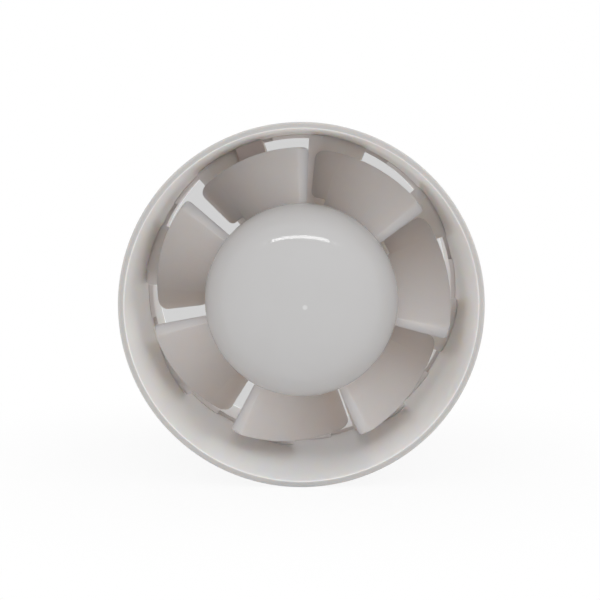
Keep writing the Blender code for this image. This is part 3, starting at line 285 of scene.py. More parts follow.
def finished(name, work, material, body, slot, *nodes):
    """Sets a shape in the model's frame as a piece of the fan that rides on one body."""
    bmesh.ops.remove_doubles(work, verts=work.verts, dist=WELD)
    bmesh.ops.dissolve_degenerate(work, dist=WELD, edges=work.edges)
    bmesh.ops.transform(work, matrix=BENCH_TO_FAN, verts=work.verts)
    mesh = bpy.data.meshes.new(name)
    work.to_mesh(mesh)
    work.free()
    mesh.shade_smooth()
    mesh.set_sharp_from_angle(angle=SHARP_ANGLE)
    mesh.materials.append(material)
    piece = bpy.data.objects.new(name, mesh)
    SCENE.collection.objects.link(piece)
    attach(piece, body)
    if nodes:
        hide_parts(*nodes)
    return piece


def wrapped(work, front, length, angle_at, strips):
    """Bends a flat blank round the axis. Its x runs rearwards, its y is the radius."""
    for strip in range(1, strips):
        place = (length * strip / strips, 0.0, 0.0)
        geometry = work.verts[:] + work.edges[:] + work.faces[:]
        bmesh.ops.bisect_plane(work, geom=geometry, plane_co=place, plane_no=(1.0, 0.0, 0.0), dist=WELD)
    step = 0.001
    for vert in work.verts:
        along, radius, offset = vert.co
        share = along / length
        slope = (angle_at(share + step) - angle_at(share - step)) / (2 * step * length)
        offset *= math.sqrt(1.0 + (radius * slope) ** 2)
        vert.co = (*polar(radius, angle_at(share) + offset / radius), front - along)
    bmesh.ops.recalc_face_normals(work, faces=work.faces)
    if work.calc_volume(signed=True) < 0.0:
        bmesh.ops.reverse_faces(work, faces=work.faces)
    return work


def flat_blank(corners, thickness, edge_round, root):
    """A plate with rounded corners and edges. Its root, which enters the hub or cup, stays square."""
    work = bmesh.new()
    verts = [work.verts.new((x, y, -thickness / 2)) for x, y, _ in corners]
    face = work.faces.new(verts)
    for vert, (_, _, corner) in zip(verts, corners):
        if corner:
            round_corner(work, vert, corner, 5)
    face = work.faces[:]
    raised = bmesh.ops.extrude_face_region(work, geom=face)["geom"]
    top = [item for item in raised if isinstance(item, bmesh.types.BMVert)]
    bmesh.ops.translate(work, verts=top, vec=(0.0, 0.0, thickness))
    bmesh.ops.recalc_face_normals(work, faces=work.faces)

    def above_root(edge):
        return all(vert.co.y > root for vert in edge.verts) and abs(
            edge.verts[0].co.z - edge.verts[1].co.z) < thickness / 2

    return soften(work, edge_round, keep=above_root)


def root_fillet(radius, thickness, fillet, start, stop):
    """A bar along a blade's root whose two sides sweep up into the blade, to be bent with it."""
    work = bmesh.new()
    half = thickness / 2 - WELD * 20
    reach = fillet * 1.02
    foot = radius - SINK
    side = [(radius - BITE, half + reach), (foot, half + reach), (foot, half), (radius + reach, half)]
    ring = side + [(r, -across) for r, across in side[::-1]]
    verts = [work.verts.new((start, r, across)) for r, across in ring]
    work.faces.new(verts)
    for vert in (verts[2], verts[5]):
        round_corner(work, vert, fillet, 5)
    raised = bmesh.ops.extrude_face_region(work, geom=work.faces[:])["geom"]
    end = [item for item in raised if isinstance(item, bmesh.types.BMVert)]
    bmesh.ops.translate(work, verts=end, vec=(stop - start, 0.0, 0.0))
    bmesh.ops.recalc_face_normals(work, faces=work.faces)
    return work


# Plastic, metal and rubber finishes


def moulding_marks():
    """Node group: a fine grain for the height, and soft patches from the flow of the plastic."""
    group = bpy.data.node_groups.new("moulding_marks", "ShaderNodeTree")
    face = group.interface
    face.new_socket("Grain Scale", in_out="INPUT", socket_type="NodeSocketFloat")
    face.new_socket("Patch Scale", in_out="INPUT", socket_type="NodeSocketFloat")
    face.new_socket("Grain", in_out="OUTPUT", socket_type="NodeSocketFloat")
    face.new_socket("Patches", in_out="OUTPUT", socket_type="NodeSocketFloat")
    given = group.nodes.new("NodeGroupInput")
    result = group.nodes.new("NodeGroupOutput")
    where = group.nodes.new("ShaderNodeTexCoord")
    grain = group.nodes.new("ShaderNodeTexNoise")
    grain.inputs["Detail"].default_value = 3.0
    grain.inputs["Roughness"].default_value = 0.6
    patches = group.nodes.new("ShaderNodeTexNoise")
    patches.inputs["Detail"].default_value = 4.0
    patches.inputs["Distortion"].default_value = 0.6
    link = group.links.new
    link(where.outputs["Object"], grain.inputs["Vector"])
    link(where.outputs["Object"], patches.inputs["Vector"])
    link(given.outputs["Grain Scale"], grain.inputs["Scale"])
    link(given.outputs["Patch Scale"], patches.inputs["Scale"])
    link(grain.outputs["Fac"], result.inputs["Grain"])
    link(patches.outputs["Fac"], result.inputs["Patches"])
    return group


MARKS = moulding_marks()


def moulded(name, colour, shade, roughness, spread=0.08, grain_scale=1500.0, grain_depth=0.004 * MM,
            patch_scale=42.0, metallic=0.0, glow_depth=0.0):
    """A finish with two close tones in patches, uneven gloss and a fine grain.

    Light goes into a thin white wall as deep as glow_depth and comes out warmer.
    """
    made = bpy.data.materials.new(name)
    made.use_nodes = True
    made.diffuse_color = (*colour, 1.0)
    tree = made.node_tree
    shader = tree.nodes["Principled BSDF"]
    shader.inputs["Metallic"].default_value = metallic
    if glow_depth:
        shader.inputs["Subsurface Weight"].default_value = 1.0
        shader.inputs["Subsurface Radius"].default_value = (1.0, 0.8, 0.65)
        shader.inputs["Subsurface Scale"].default_value = glow_depth
    marks = tree.nodes.new("ShaderNodeGroup")
    marks.node_tree = MARKS
    marks.inputs["Grain Scale"].default_value = grain_scale
    marks.inputs["Patch Scale"].default_value = patch_scale
    tones = tree.nodes.new("ShaderNodeValToRGB")
    tones.color_ramp.elements[0].position = 0.3
    tones.color_ramp.elements[0].color = (*shade, 1.0)
    tones.color_ramp.elements[1].position = 0.7
    tones.color_ramp.elements[1].color = (*colour, 1.0)
    gloss = tree.nodes.new("ShaderNodeMapRange")
    gloss.inputs["From Min"].default_value = 0.3
    gloss.inputs["From Max"].default_value = 0.7
    gloss.inputs["To Min"].default_value = max(roughness - spread / 2, 0.02)
    gloss.inputs["To Max"].default_value = roughness + spread / 2
    bump = tree.nodes.new("ShaderNodeBump")
    bump.inputs["Strength"].default_value = 0.5
    bump.inputs["Distance"].default_value = grain_depth
    link = tree.links.new
    link(marks.outputs["Patches"], tones.inputs["Fac"])
    link(marks.outputs["Patches"], gloss.inputs["Value"])
    link(marks.outputs["Grain"], bump.inputs["Height"])
    link(tones.outputs["Color"], shader.inputs["Base Color"])
    link(gloss.outputs["Result"], shader.inputs["Roughness"])
    link(bump.outputs["Normal"], shader.inputs["Normal"])
    return made


def mask_from(tree, distance, near, far):
    """1 where a distance is less than near, falling to 0 at far."""
    mask = tree.nodes.new("ShaderNodeMapRange")
    mask.interpolation_type = "SMOOTHSTEP"
    mask.inputs["From Min"].default_value = near
    mask.inputs["From Max"].default_value = far
    mask.inputs["To Min"].default_value = 1.0
    mask.inputs["To Max"].default_value = 0.0
    tree.links.new(distance, mask.inputs["Value"])
    return mask.outputs["Result"]


def distance_across(tree, centre_x=0.0, centre_z=0.0):
    """Distance from a line along Y, in the piece's own coordinates."""
    where = tree.nodes.new("ShaderNodeTexCoord")
    flat = tree.nodes.new("ShaderNodeVectorMath")
    flat.operation = "MULTIPLY"
    flat.inputs[1].default_value = (1.0, 0.0, 1.0)
    apart = tree.nodes.new("ShaderNodeVectorMath")
    apart.operation = "DISTANCE"
    apart.inputs[1].default_value = (centre_x, 0.0, centre_z)
    tree.links.new(where.outputs["Object"], flat.inputs[0])
    tree.links.new(flat.outputs["Vector"], apart.inputs[0])
    return apart.outputs["Value"]


def toned(made, mask, tone):
    """Lays another tone over a finish where the mask is 1."""
    tree = made.node_tree
    shader = tree.nodes["Principled BSDF"]
    before = shader.inputs["Base Color"].links[0].from_socket
    mix = tree.nodes.new("ShaderNodeMix")
    mix.data_type = "RGBA"
    mix.inputs["B"].default_value = (*tone, 1.0)
    link = tree.links.new
    link(mask, mix.inputs["Factor"])
    link(before, mix.inputs["A"])
    link(mix.outputs["Result"], shader.inputs["Base Color"])


WALL_GLOW = 5.0 * MM
SLEEVE_WHITE = moulded("sleeve_white", (0.965, 0.934, 0.918), (0.955, 0.923, 0.905), 0.32,
                       grain_depth=0.0005 * MM, glow_depth=2.0 * MM)
# Painted shade: a darker grey for the sleeve's rim and outside, standing in for how the light falls on them.
RIM_PAINTED_SHADE = (0.59, 0.59, 0.585)
FRAME_WHITE = moulded("frame_white", (0.965, 0.885, 0.845), (0.955, 0.873, 0.832), 0.30, glow_depth=WALL_GLOW)
# Painted light: lighter copies of the frame's white for the seat ring (neutral) and the channel block (warm),
# standing in for the glow their thin walls don't carry.
RING_PAINTED_LIGHT = moulded("ring_painted_light", (0.975, 0.95, 0.935), (0.97, 0.94, 0.922), 0.34)
CHANNEL_PAINTED_LIGHT = moulded("channel_painted_light", (0.985, 0.88, 0.83), (0.98, 0.865, 0.815), 0.36)
# Painted shade: the impeller's white is darker and warmer than the sleeve's, for the shade the blades sit in
# deep inside the duct.
BLADE_SHADED_WHITE = moulded("blade_painted_shade", (0.775, 0.72, 0.695), (0.765, 0.708, 0.681), 0.32, glow_depth=7.0 * MM)
DOME_WHITE = moulded("dome_white", (0.613, 0.611, 0.608), (0.603, 0.6, 0.595), 0.06, spread=0.02,
                     grain_depth=0.0004 * MM)
COVER_WHITE = moulded("cover_white", (0.80, 0.765, 0.745), (0.79, 0.75, 0.73), 0.34)
INLET_RUBBER = moulded("inlet_rubber", (0.035, 0.034, 0.034), (0.022, 0.022, 0.022), 0.6,
                       grain_depth=0.03 * MM)
SCREW_STEEL = moulded("screw_steel", (0.62, 0.61, 0.58), (0.5, 0.49, 0.46), 0.32, metallic=1.0,
                      patch_scale=900.0)


def paint_rim_shade():
    """Painted shade: the sleeve's rim and outside get a darker grey than its bore, for how the light falls on
    them.
    """
    tree = SLEEVE_WHITE.node_tree
    bore = mask_from(tree, distance_across(tree), SLEEVE_BORE + 0.1 * MM, SLEEVE_BORE + 0.4 * MM)
    rim_shade_mask = tree.nodes.new("ShaderNodeMath")
    rim_shade_mask.operation = "SUBTRACT"
    rim_shade_mask.inputs[0].default_value = 1.0
    tree.links.new(bore, rim_shade_mask.inputs[1])
    toned(SLEEVE_WHITE, rim_shade_mask.outputs["Value"], RIM_PAINTED_SHADE)


def tone_gate_mark():
    """Where the dome's mould was filled there is a small pale spot near its middle."""
    tree = DOME_WHITE.node_tree
    spot = mask_from(tree, distance_across(tree, *GATE_SPOT), GATE_RADIUS * 0.4, GATE_RADIUS)
    toned(DOME_WHITE, spot, GATE_TONE)


GATE_SPOT = (1.0 * MM, -0.8 * MM)
GATE_RADIUS = 0.9 * MM
GATE_TONE = (0.75, 0.75, 0.75)
paint_rim_shade()
tone_gate_mark()


# Duct sleeve


def inlet_bar():
    """Bar that bores the cable inlet through the sleeve and the channel."""
    bar = round_bar(GROMMET_NECK + FIT_GAP, CHANNEL_END - CHANNEL_WALL - 2 * MM, SLEEVE_RADIUS + 2 * MM)
    return pointed_out(bar, CHANNEL_ANGLE, 0.0, GROMMET_STATION)


def pointed_out(work, angle, radius, station):
    """Lays a shape that was made along the axis so that it points outwards at that place."""
    outwards = Matrix.Rotation(math.pi / 2, 4, "Y")
    place = Matrix.Rotation(angle, 4, "Z") @ Matrix.Translation((radius, 0.0, station)) @ outwards
    bmesh.ops.transform(work, matrix=place, verts=work.verts)
    return work


def snap_bars(radius, inner, outer):
    """The pips on the ring, or what bores their pockets in the sleeve."""
    station = (RING_REAR + RING_FRONT) / 2
    shapes = []
    for index in range(SNAP_COUNT):
        angle = SNAP_ANGLE + math.tau * index / SNAP_COUNT
        shapes.append(pointed_out(round_bar(radius, inner, outer, 24), angle, 0.0, station))
    return gathered(shapes)


def make_sleeve():
    profile = [
        (SLEEVE_RADIUS, SLEEVE_LENGTH, RIM_ROUND),
        (SLEEVE_RADIUS, 0.0, 0.3 * MM),
        (SLEEVE_BORE, 0.0, 0.3 * MM),
        (SLEEVE_BORE, SLEEVE_LENGTH, RIM_ROUND),
    ]
    sleeve = boolean(lathe(profile), inlet_bar(), "DIFFERENCE")
    pockets = snap_bars(SNAP_RADIUS + FIT_GAP, RING_BORE, SNAP_REACH + FIT_GAP)
    sleeve = boolean(sleeve, pockets, "DIFFERENCE")
    finished("sleeve_tube", sleeve, SLEEVE_WHITE, "casing", "white_plastic", "duct_sleeve")


# Guide vane frame


def vane_angle(share):
    return VANE_FRONT_ANGLE + VANE_SWEEP * (2 * share - share * share)


def vanes():
    shapes = []
    for index in range(VANE_COUNT):
        corners = [
            (0.0, CUP_RADIUS - BITE, 0.0),
            (VANE_LENGTH, CUP_RADIUS - BITE, 0.0),
            (VANE_LENGTH, VANE_TIP, 0.0),
            (0.0, VANE_TIP, 0.5 * MM),
        ]
        vane = flat_blank(corners, VANE_THICKNESS, 0.15 * MM, CUP_RADIUS)
        vane = wrapped(vane, VANE_FRONT, VANE_LENGTH, vane_angle, 14)
        shapes.append(turned(vane, math.tau * index / VANE_COUNT))
    return gathered(shapes)


def vane_fillets():
    shapes = []
    for index in range(VANE_COUNT):
        fillet = root_fillet(CUP_RADIUS, VANE_THICKNESS, 0.6 * MM, 0.2 * MM, VANE_LENGTH - 0.2 * MM)
        fillet = wrapped(fillet, VANE_FRONT, VANE_LENGTH, vane_angle, 14)
        shapes.append(turned(fillet, math.tau * index / VANE_COUNT))
    return gathered(shapes)


def channel_block(width, inner, outer, rear, front):
    shape = block(outer - inner, width, rear, front, (inner + outer) / 2)
    return shape


def seat_ring():
    """The thin ring round the vanes' rear ends, notched from the front beside each vane."""
    ring = lathe([
        (RING_RADIUS, RING_FRONT, 0.0),
        (RING_RADIUS, RING_REAR, 0.1 * MM),
        (RING_BORE, RING_REAR, 0.1 * MM),
        (RING_BORE, RING_FRONT - 2.5 * MM, 0.5 * MM),
        (RING_RADIUS - 0.12 * MM, RING_FRONT, 0.0),
    ])
    notches = []
    for index in range(VANE_COUNT):
        bar = block(4 * MM, NOTCH_WIDTH, NOTCH_REAR, RING_FRONT + 2 * MM, RING_RADIUS)
        notches.append(turned(bar, NOTCH_ANGLE + math.tau * index / VANE_COUNT))
    return boolean(ring, gathered(notches), "DIFFERENCE")


def mark_thin_faces(work):
    """The hollow channel and the thin ring hold no light, so their faces get lighter copies of the frame's
    white: painted light in place of the glow.
    """
    back = Matrix.Rotation(-CHANNEL_ANGLE, 3, "Z")
    for face in work.faces:
        along, across, station = back @ face.calc_center_median()
        beside = abs(across) < CHANNEL_WIDTH / 2 + 0.01 * MM
        between = CUP_RADIUS + 0.05 * MM < along < RING_BORE
        in_channel = beside and between and station < CHANNEL_FRONT + 0.01 * MM
        if in_channel:
            face.material_index = 1
        elif math.hypot(along, across) > RING_BORE - 0.3 * MM:
            face.material_index = 2


def make_vane_frame():
    cup = lathe([
        (CUP_RADIUS, CUP_FRONT, 0.3 * MM),
        (CUP_RADIUS, FRAME_REAR, 0.4 * MM),
        (CUP_BORE, FRAME_REAR, 0.25 * MM),
        (CUP_BORE, CUP_FLOOR_REAR, 0.0),
        (0.0, CUP_FLOOR_REAR, 0.0),
        (0.0, CUP_FLOOR_FRONT, 0.0),
        (CUP_BORE, CUP_FLOOR_FRONT, 0.0),
        (CUP_BORE, CUP_FRONT, 0.3 * MM),
    ])
    ring = seat_ring()
    body = boolean(cup, vane_fillets(), "UNION")
    body = boolean(body, vanes(), "UNION")
    body = boolean(body, ring, "UNION")
    body = boolean(body, snap_bars(SNAP_RADIUS, RING_BORE + BITE, SNAP_REACH), "UNION")
    box = channel_block(CHANNEL_WIDTH, CUP_RADIUS - BITE, SLEEVE_RADIUS, FRAME_REAR, CHANNEL_FRONT)
    inside = round_bar(VANE_TIP, FRAME_REAR - MM, CHANNEL_FRONT + MM, ROUND_STEPS)
    box = soften(boolean(box, inside, "INTERSECT"), 0.3 * MM)
    body = boolean(body, turned(box, CHANNEL_ANGLE), "UNION")
    posts = gathered([moved(round_bar(POST_RADIUS, COVER_FRONT + FIT_GAP, CUP_FLOOR_REAR + BITE),
                            (*polar(POST_CIRCLE, angle), 0.0)) for angle in POST_ANGLES])
    body = boolean(body, posts, "UNION")
    cavity = channel_block(CHANNEL_WIDTH - 2 * CHANNEL_WALL, CUP_RADIUS, CHANNEL_END - CHANNEL_WALL,
                           FRAME_REAR - 2 * MM, CHANNEL_FRONT - CHANNEL_WALL)
    body = boolean(body, turned(cavity, CHANNEL_ANGLE), "DIFFERENCE")
    wire_hole = round_bar(WIRE_HOLE_RADIUS, CUP_BORE - 2 * MM, CUP_RADIUS + 2 * MM)
    wire_station = (COVER_FRONT + CUP_FLOOR_REAR) / 2
    body = boolean(body, pointed_out(wire_hole, CHANNEL_ANGLE, 0.0, wire_station), "DIFFERENCE")
    body = boolean(body, inlet_bar(), "DIFFERENCE")
    bores = gathered([moved(round_bar(SCREW_HOLE_RADIUS, COVER_REAR - 2 * MM, COVER_FRONT + FIT_GAP + 4.5 * MM),
                            (*polar(POST_CIRCLE, angle), 0.0)) for angle in POST_ANGLES])
    body = boolean(body, bores, "DIFFERENCE")
    mark_thin_faces(body)
    frame_piece = finished("vane_frame", body, FRAME_WHITE, "casing", "white_plastic", "guide_vane_frame")
    frame_piece.data.materials.append(CHANNEL_PAINTED_LIGHT)
    frame_piece.data.materials.append(RING_PAINTED_LIGHT)


def make_cup_cover():
    cover = lathe([
        (0.0, COVER_FRONT, 0.0),
        (COVER_RADIUS, COVER_FRONT, 0.2 * MM),
        (COVER_RADIUS, COVER_REAR, 0.4 * MM),
        (0.0, COVER_REAR, 0.0),
    ])
    holes = gathered([moved(round_bar(SCREW_HOLE_RADIUS, COVER_REAR - 2 * MM, COVER_FRONT + 2 * MM),
                            (*polar(POST_CIRCLE, angle), 0.0)) for angle in POST_ANGLES])
    cover = boolean(cover, holes, "DIFFERENCE")
    finished("cup_cover", cover, COVER_WHITE, "casing", "white_plastic", "motor_cup_cover")


def make_cover_screws():
    head_rear = COVER_REAR - FIT_GAP - SCREW_HEAD_HEIGHT
    seat = head_rear + SCREW_HEAD_HEIGHT
    tip = COVER_FRONT + 4.5 * MM
    for number, angle in enumerate(POST_ANGLES, 1):
        screw = lathe([
            (0.0, tip, 0.0),
            (SCREW_RADIUS - 0.4 * MM, tip, 0.0),
            (SCREW_RADIUS, tip - 0.4 * MM, 0.0),
            (SCREW_RADIUS, seat, 0.0),
            (SCREW_HEAD_RADIUS, seat, 0.1 * MM),
            (SCREW_HEAD_RADIUS, head_rear, 0.5 * MM),
            (0.0, head_rear, 0.0),
        ], SMALL_STEPS)
        slot_depth = head_rear + 0.55 * MM
        bar = block(2.2 * MM, 0.45 * MM, head_rear - MM, slot_depth)
        other = turned(block(2.2 * MM, 0.45 * MM, head_rear - MM, slot_depth), math.pi / 2)
        screw = boolean(screw, bar, "DIFFERENCE")
        screw = boolean(screw, other, "DIFFERENCE")
        screw = turned(screw, math.radians(35.0 + 50.0 * number))
        moved(screw, (*polar(POST_CIRCLE, angle), 0.0))
        finished("cup_screw_%d" % number, screw, SCREW_STEEL, "casing", "steel", "cover_screw_%d" % number)


def make_channel_lid():
    inner = CUP_RADIUS + FIT_GAP
    outer = CHANNEL_END - CHANNEL_WALL - FIT_GAP
    width = CHANNEL_WIDTH - 2 * CHANNEL_WALL - 2 * FIT_GAP
    lid = soften(channel_block(width, inner, outer, FRAME_REAR, FRAME_REAR + MM), 0.15 * MM)
    turned(lid, CHANNEL_ANGLE)
    finished("channel_lid", lid, COVER_WHITE, "casing", "white_plastic", "wire_channel_lid")


def make_grommet():
    inner_end = CHANNEL_END - CHANNEL_WALL
    seat = SLEEVE_RADIUS + FIT_GAP - inner_end
    top = seat + GROMMET_FLANGE_THICKNESS
    grommet = lathe([
        (GROMMET_FLANGE, top, 0.6 * MM),
        (GROMMET_FLANGE, seat, 0.1 * MM),
        (GROMMET_NECK, seat, 0.0),
        (GROMMET_NECK, 0.0, 0.2 * MM),
        (GROMMET_BORE, 0.0, 0.2 * MM),
        (GROMMET_BORE, top, 0.35 * MM),
    ], SMALL_STEPS)
    pointed_out(grommet, CHANNEL_ANGLE, inner_end, GROMMET_STATION)
    finished("inlet_grommet", grommet, INLET_RUBBER, "casing", "black_rubber", "cable_grommet")


# Impeller and dome


def blade_angle(share):
    return BLADE_FRONT_ANGLE + BLADE_SWEEP * (share + BLADE_CAMBER * share * (1.0 - share))


def blades():
    hub_end = BLADE_FRONT - HUB_REAR - BITE
    root = HUB_RADIUS - 0.9 * MM
    free_root = HUB_RADIUS + 2.0 * MM
    shapes = []
    for index in range(BLADE_COUNT):
        corners = [
            (0.0, root, 0.0),
            (hub_end, root, 0.0),
            (hub_end, free_root, 0.8 * MM),
            (BLADE_LENGTH, free_root, 1.8 * MM),
            (BLADE_LENGTH, BLADE_TIP, 2.4 * MM),
            (0.0, BLADE_TIP, 0.9 * MM),
        ]
        blade = flat_blank(corners, BLADE_THICKNESS, 0.18 * MM, HUB_RADIUS)
        blade = wrapped(blade, BLADE_FRONT, BLADE_LENGTH, blade_angle, 44)
        shapes.append(turned(blade, math.tau * index / BLADE_COUNT))
    return gathered(shapes)


def blade_fillets():
    hub_end = BLADE_FRONT - HUB_REAR - BITE
    shapes = []
    for index in range(BLADE_COUNT):
        fillet = root_fillet(HUB_RADIUS, BLADE_THICKNESS, 0.7 * MM, 0.15 * MM, hub_end - 0.2 * MM)
        fillet = wrapped(fillet, BLADE_FRONT, BLADE_LENGTH, blade_angle, 44)
        shapes.append(turned(fillet, math.tau * index / BLADE_COUNT))
    return gathered(shapes)


def make_impeller():
    hub = lathe([
        (HUB_RADIUS, HUB_FRONT, 0.3 * MM),
        (HUB_RADIUS, HUB_REAR, 0.4 * MM),
        (HUB_BORE, HUB_REAR, 0.3 * MM),
        (HUB_BORE, BOSS_FRONT - WEB_THICKNESS, 0.0),
        (BOSS_RADIUS, BOSS_FRONT - WEB_THICKNESS, 0.0),
        (BOSS_RADIUS, BOSS_REAR, 0.2 * MM),
        (BOSS_BORE, BOSS_REAR, 0.0),
        (BOSS_BORE, BOSS_FRONT, 0.0),
        (HUB_BORE, BOSS_FRONT, 0.0),
        (HUB_BORE, HUB_FRONT, 0.2 * MM),
    ])
    impeller = boolean(hub, blade_fillets(), "UNION")
    impeller = boolean(impeller, blades(), "UNION")
    finished("impeller_moulding", impeller, BLADE_SHADED_WHITE, "rotor", "white_plastic", "impeller")


def dome_curve(radius, height, base, steps):
    points = []
    for step in range(steps + 1):
        angle = math.pi / 2 * (1.0 - step / steps)
        across = math.cos(angle) ** (2 / DOME_SHOULDER)
        up = math.sin(angle) ** (2 / DOME_SHOULDER)
        points.append((radius * across, base + height * up, 0.0))
    points[0] = (0.0, base + height, 0.0)
    points[-1] = (radius, base, 0.0)
    return points


def make_dome():
    profile = dome_curve(DOME_RADIUS, DOME_HEIGHT, DOME_BASE, 48)
    profile[-1] = (DOME_RADIUS, DOME_BASE, 0.25 * MM)
    profile += [
        (DOME_LIP_RADIUS, DOME_BASE, 0.0),
        (DOME_LIP_RADIUS, DOME_LIP_REAR, 0.2 * MM),
        (DOME_LIP_BORE, DOME_LIP_REAR, 0.0),
    ]
    profile += dome_curve(DOME_LIP_BORE, DOME_HEIGHT - DOME_WALL, DOME_BASE, 16)[::-1]
    finished("dome_cap", lathe(profile), DOME_WHITE, "rotor", "glossy_white", "hub_dome")


make_sleeve()
make_vane_frame()
make_cup_cover()
make_cover_screws()
make_channel_lid()
make_grommet()
make_impeller()
make_dome()


# Hidden pieces of the motor keep their CAD shapes and get fuller finishes

HIDDEN_FINISHES = {
    "steel": moulded("zinc_steel", (0.58, 0.58, 0.60), (0.46, 0.46, 0.48), 0.34, metallic=1.0),
    "sheet_steel": moulded("zinc_sheet", (0.56, 0.57, 0.59), (0.44, 0.45, 0.47), 0.38, metallic=1.0),
    "laminated_steel": moulded("lamination_steel", (0.20, 0.20, 0.22), (0.14, 0.14, 0.15), 0.5, metallic=1.0),
    "copper": moulded("lacquered_copper", (0.70, 0.33, 0.17), (0.56, 0.24, 0.11), 0.3, metallic=1.0),
    "bronze": moulded("oiled_bronze", (0.50, 0.35, 0.19), (0.38, 0.26, 0.13), 0.42, metallic=1.0),
    "aluminium": moulded("cast_aluminium", (0.72, 0.73, 0.75), (0.60, 0.61, 0.63), 0.4, metallic=1.0),
    "grey_plastic": moulded("grey_nylon", (0.42, 0.42, 0.41), (0.34, 0.34, 0.33), 0.5),
    "insulation": moulded("winding_insulation", (0.60, 0.54, 0.38), (0.50, 0.44, 0.30), 0.6),
    "blue_insulation": moulded("lead_insulation", (0.05, 0.13, 0.40), (0.04, 0.10, 0.32), 0.45),
    "cream_plastic": moulded("terminal_plastic", (0.68, 0.64, 0.53), (0.60, 0.56, 0.46), 0.5),
    "white_plastic": COVER_WHITE,
    "glossy_white": DOME_WHITE,
    "black_rubber": INLET_RUBBER,
}


def finish_hidden_nodes():
    slots = {entry["node"]: entry["material_slot"] for entry in frame["record"]["subparts"]}
    for name, node in frame["nodes"].items():
        if not node.hide_render:
            node.data.materials.clear()
            node.data.materials.append(HIDDEN_FINISHES[slots[name]])


finish_hidden_nodes()


# Studio

LIGHT_COLOUR = (1.0, 0.995, 1.0)
ROOM_LEVEL = 0.72
FLOOR_RADIUS = 3.0
SHADOW_REACH = 0.14
CARD_SHADE = 0.64
LAMPS = {
    "left_softbox": ((-0.22, -0.50, 0.60), (0.9, 0.5), 0.4),
    "right_softbox": ((0.30, -0.50, 0.55), (0.9, 0.5), 1.2),
}


def make_lamps():
    """Soft lamps that stay out of reflections, aimed at the fan's front."""
    for name, (place, (width, height), power) in LAMPS.items():
        data = bpy.data.lights.new(name, "AREA")
        data.shape = "RECTANGLE"
        data.size = width
        data.size_y = height
        data.energy = power
        data.color = LIGHT_COLOUR
        lamp = bpy.data.objects.new(name, data)
        SCENE.collection.objects.link(lamp)
        lamp.location = place
        lamp.rotation_mode = "QUATERNION"
        lamp.rotation_quaternion = (FRONT_CENTRE - Vector(place)).to_track_quat("-Z", "Y")
        lamp.visible_glossy = False


def seen_directly(tree):
    """1 for what the camera sees, also by reflection or through a clear piece, and 0 for room light."""
    path = tree.nodes.new("ShaderNodeLightPath")
    either = tree.nodes.new("ShaderNodeMath")
    either.operation = "MAXIMUM"
    seen = tree.nodes.new("ShaderNodeMath")
    seen.operation = "MAXIMUM"
    tree.links.new(path.outputs["Is Camera Ray"], either.inputs[0])
    tree.links.new(path.outputs["Is Glossy Ray"], either.inputs[1])
    tree.links.new(either.outputs["Value"], seen.inputs[0])
    tree.links.new(path.outputs["Is Transmission Ray"], seen.inputs[1])
    return seen.outputs["Value"]


def make_world():
    world = bpy.data.worlds.new("studio")
    SCENE.world = world
    world.use_nodes = True
    tree = world.node_tree
    tree.nodes.clear()
    room = tree.nodes.new("ShaderNodeBackground")
    room.inputs["Color"].default_value = (*LIGHT_COLOUR, 1.0)
    room.inputs["Strength"].default_value = ROOM_LEVEL
    seen = tree.nodes.new("ShaderNodeBackground")
    seen.inputs["Color"].default_value = (1.0, 1.0, 1.0, 1.0)
    seen.inputs["Strength"].default_value = 1.0
    mix = tree.nodes.new("ShaderNodeMixShader")
    out = tree.nodes.new("ShaderNodeOutputWorld")
    tree.links.new(seen_directly(tree), mix.inputs["Fac"])
    tree.links.new(room.outputs["Background"], mix.inputs[1])
    tree.links.new(seen.outputs["Background"], mix.inputs[2])
    tree.links.new(mix.outputs["Shader"], out.inputs["Surface"])


def staged(name, work, material):
    mesh = bpy.data.meshes.new(name)
    work.to_mesh(mesh)
    work.free()
    mesh.materials.append(material)
    card = bpy.data.objects.new(name, mesh)
    SCENE.collection.objects.link(card)
    return card


def studio_card(name, radius, material):
    work = bmesh.new()
    bmesh.ops.create_circle(work, cap_ends=True, segments=96, radius=radius)
    return staged(name, work, material)


def make_floor():
    """A pale floor. Near the fan it takes the fan's soft shadow, and further out it is plain white."""
    made = bpy.data.materials.new("pale_floor")
    made.use_nodes = True
    tree = made.node_tree
    tree.nodes.clear()
    where = tree.nodes.new("ShaderNodeTexCoord")
    distance = tree.nodes.new("ShaderNodeVectorMath")
    distance.operation = "LENGTH"
    fade = tree.nodes.new("ShaderNodeMapRange")
    fade.interpolation_type = "SMOOTHSTEP"
    fade.inputs["From Min"].default_value = SHADOW_REACH * 0.3
    fade.inputs["From Max"].default_value = SHADOW_REACH
    fade.inputs["To Min"].default_value = 0.9
    fade.inputs["To Max"].default_value = 1.0
    share = tree.nodes.new("ShaderNodeMath")
    share.operation = "MULTIPLY"
    paper_and_painted_shade = tree.nodes.new("ShaderNodeBsdfDiffuse")
    paper_and_painted_shade.inputs["Color"].default_value = (0.92, 0.92, 0.92, 1.0)
    white = tree.nodes.new("ShaderNodeEmission")
    mix = tree.nodes.new("ShaderNodeMixShader")
    out = tree.nodes.new("ShaderNodeOutputMaterial")
    link = tree.links.new
    link(where.outputs["Object"], distance.inputs[0])
    link(distance.outputs["Value"], fade.inputs["Value"])
    link(fade.outputs["Result"], share.inputs[0])
    link(seen_directly(tree), share.inputs[1])
    link(share.outputs["Value"], mix.inputs["Fac"])
    link(paper_and_painted_shade.outputs["BSDF"], mix.inputs[1])
    link(white.outputs["Emission"], mix.inputs[2])
    link(mix.outputs["Shader"], out.inputs["Surface"])
    floor = studio_card("floor", FLOOR_RADIUS, made)
    floor.location = (0.0, 0.0, -SLEEVE_RADIUS)


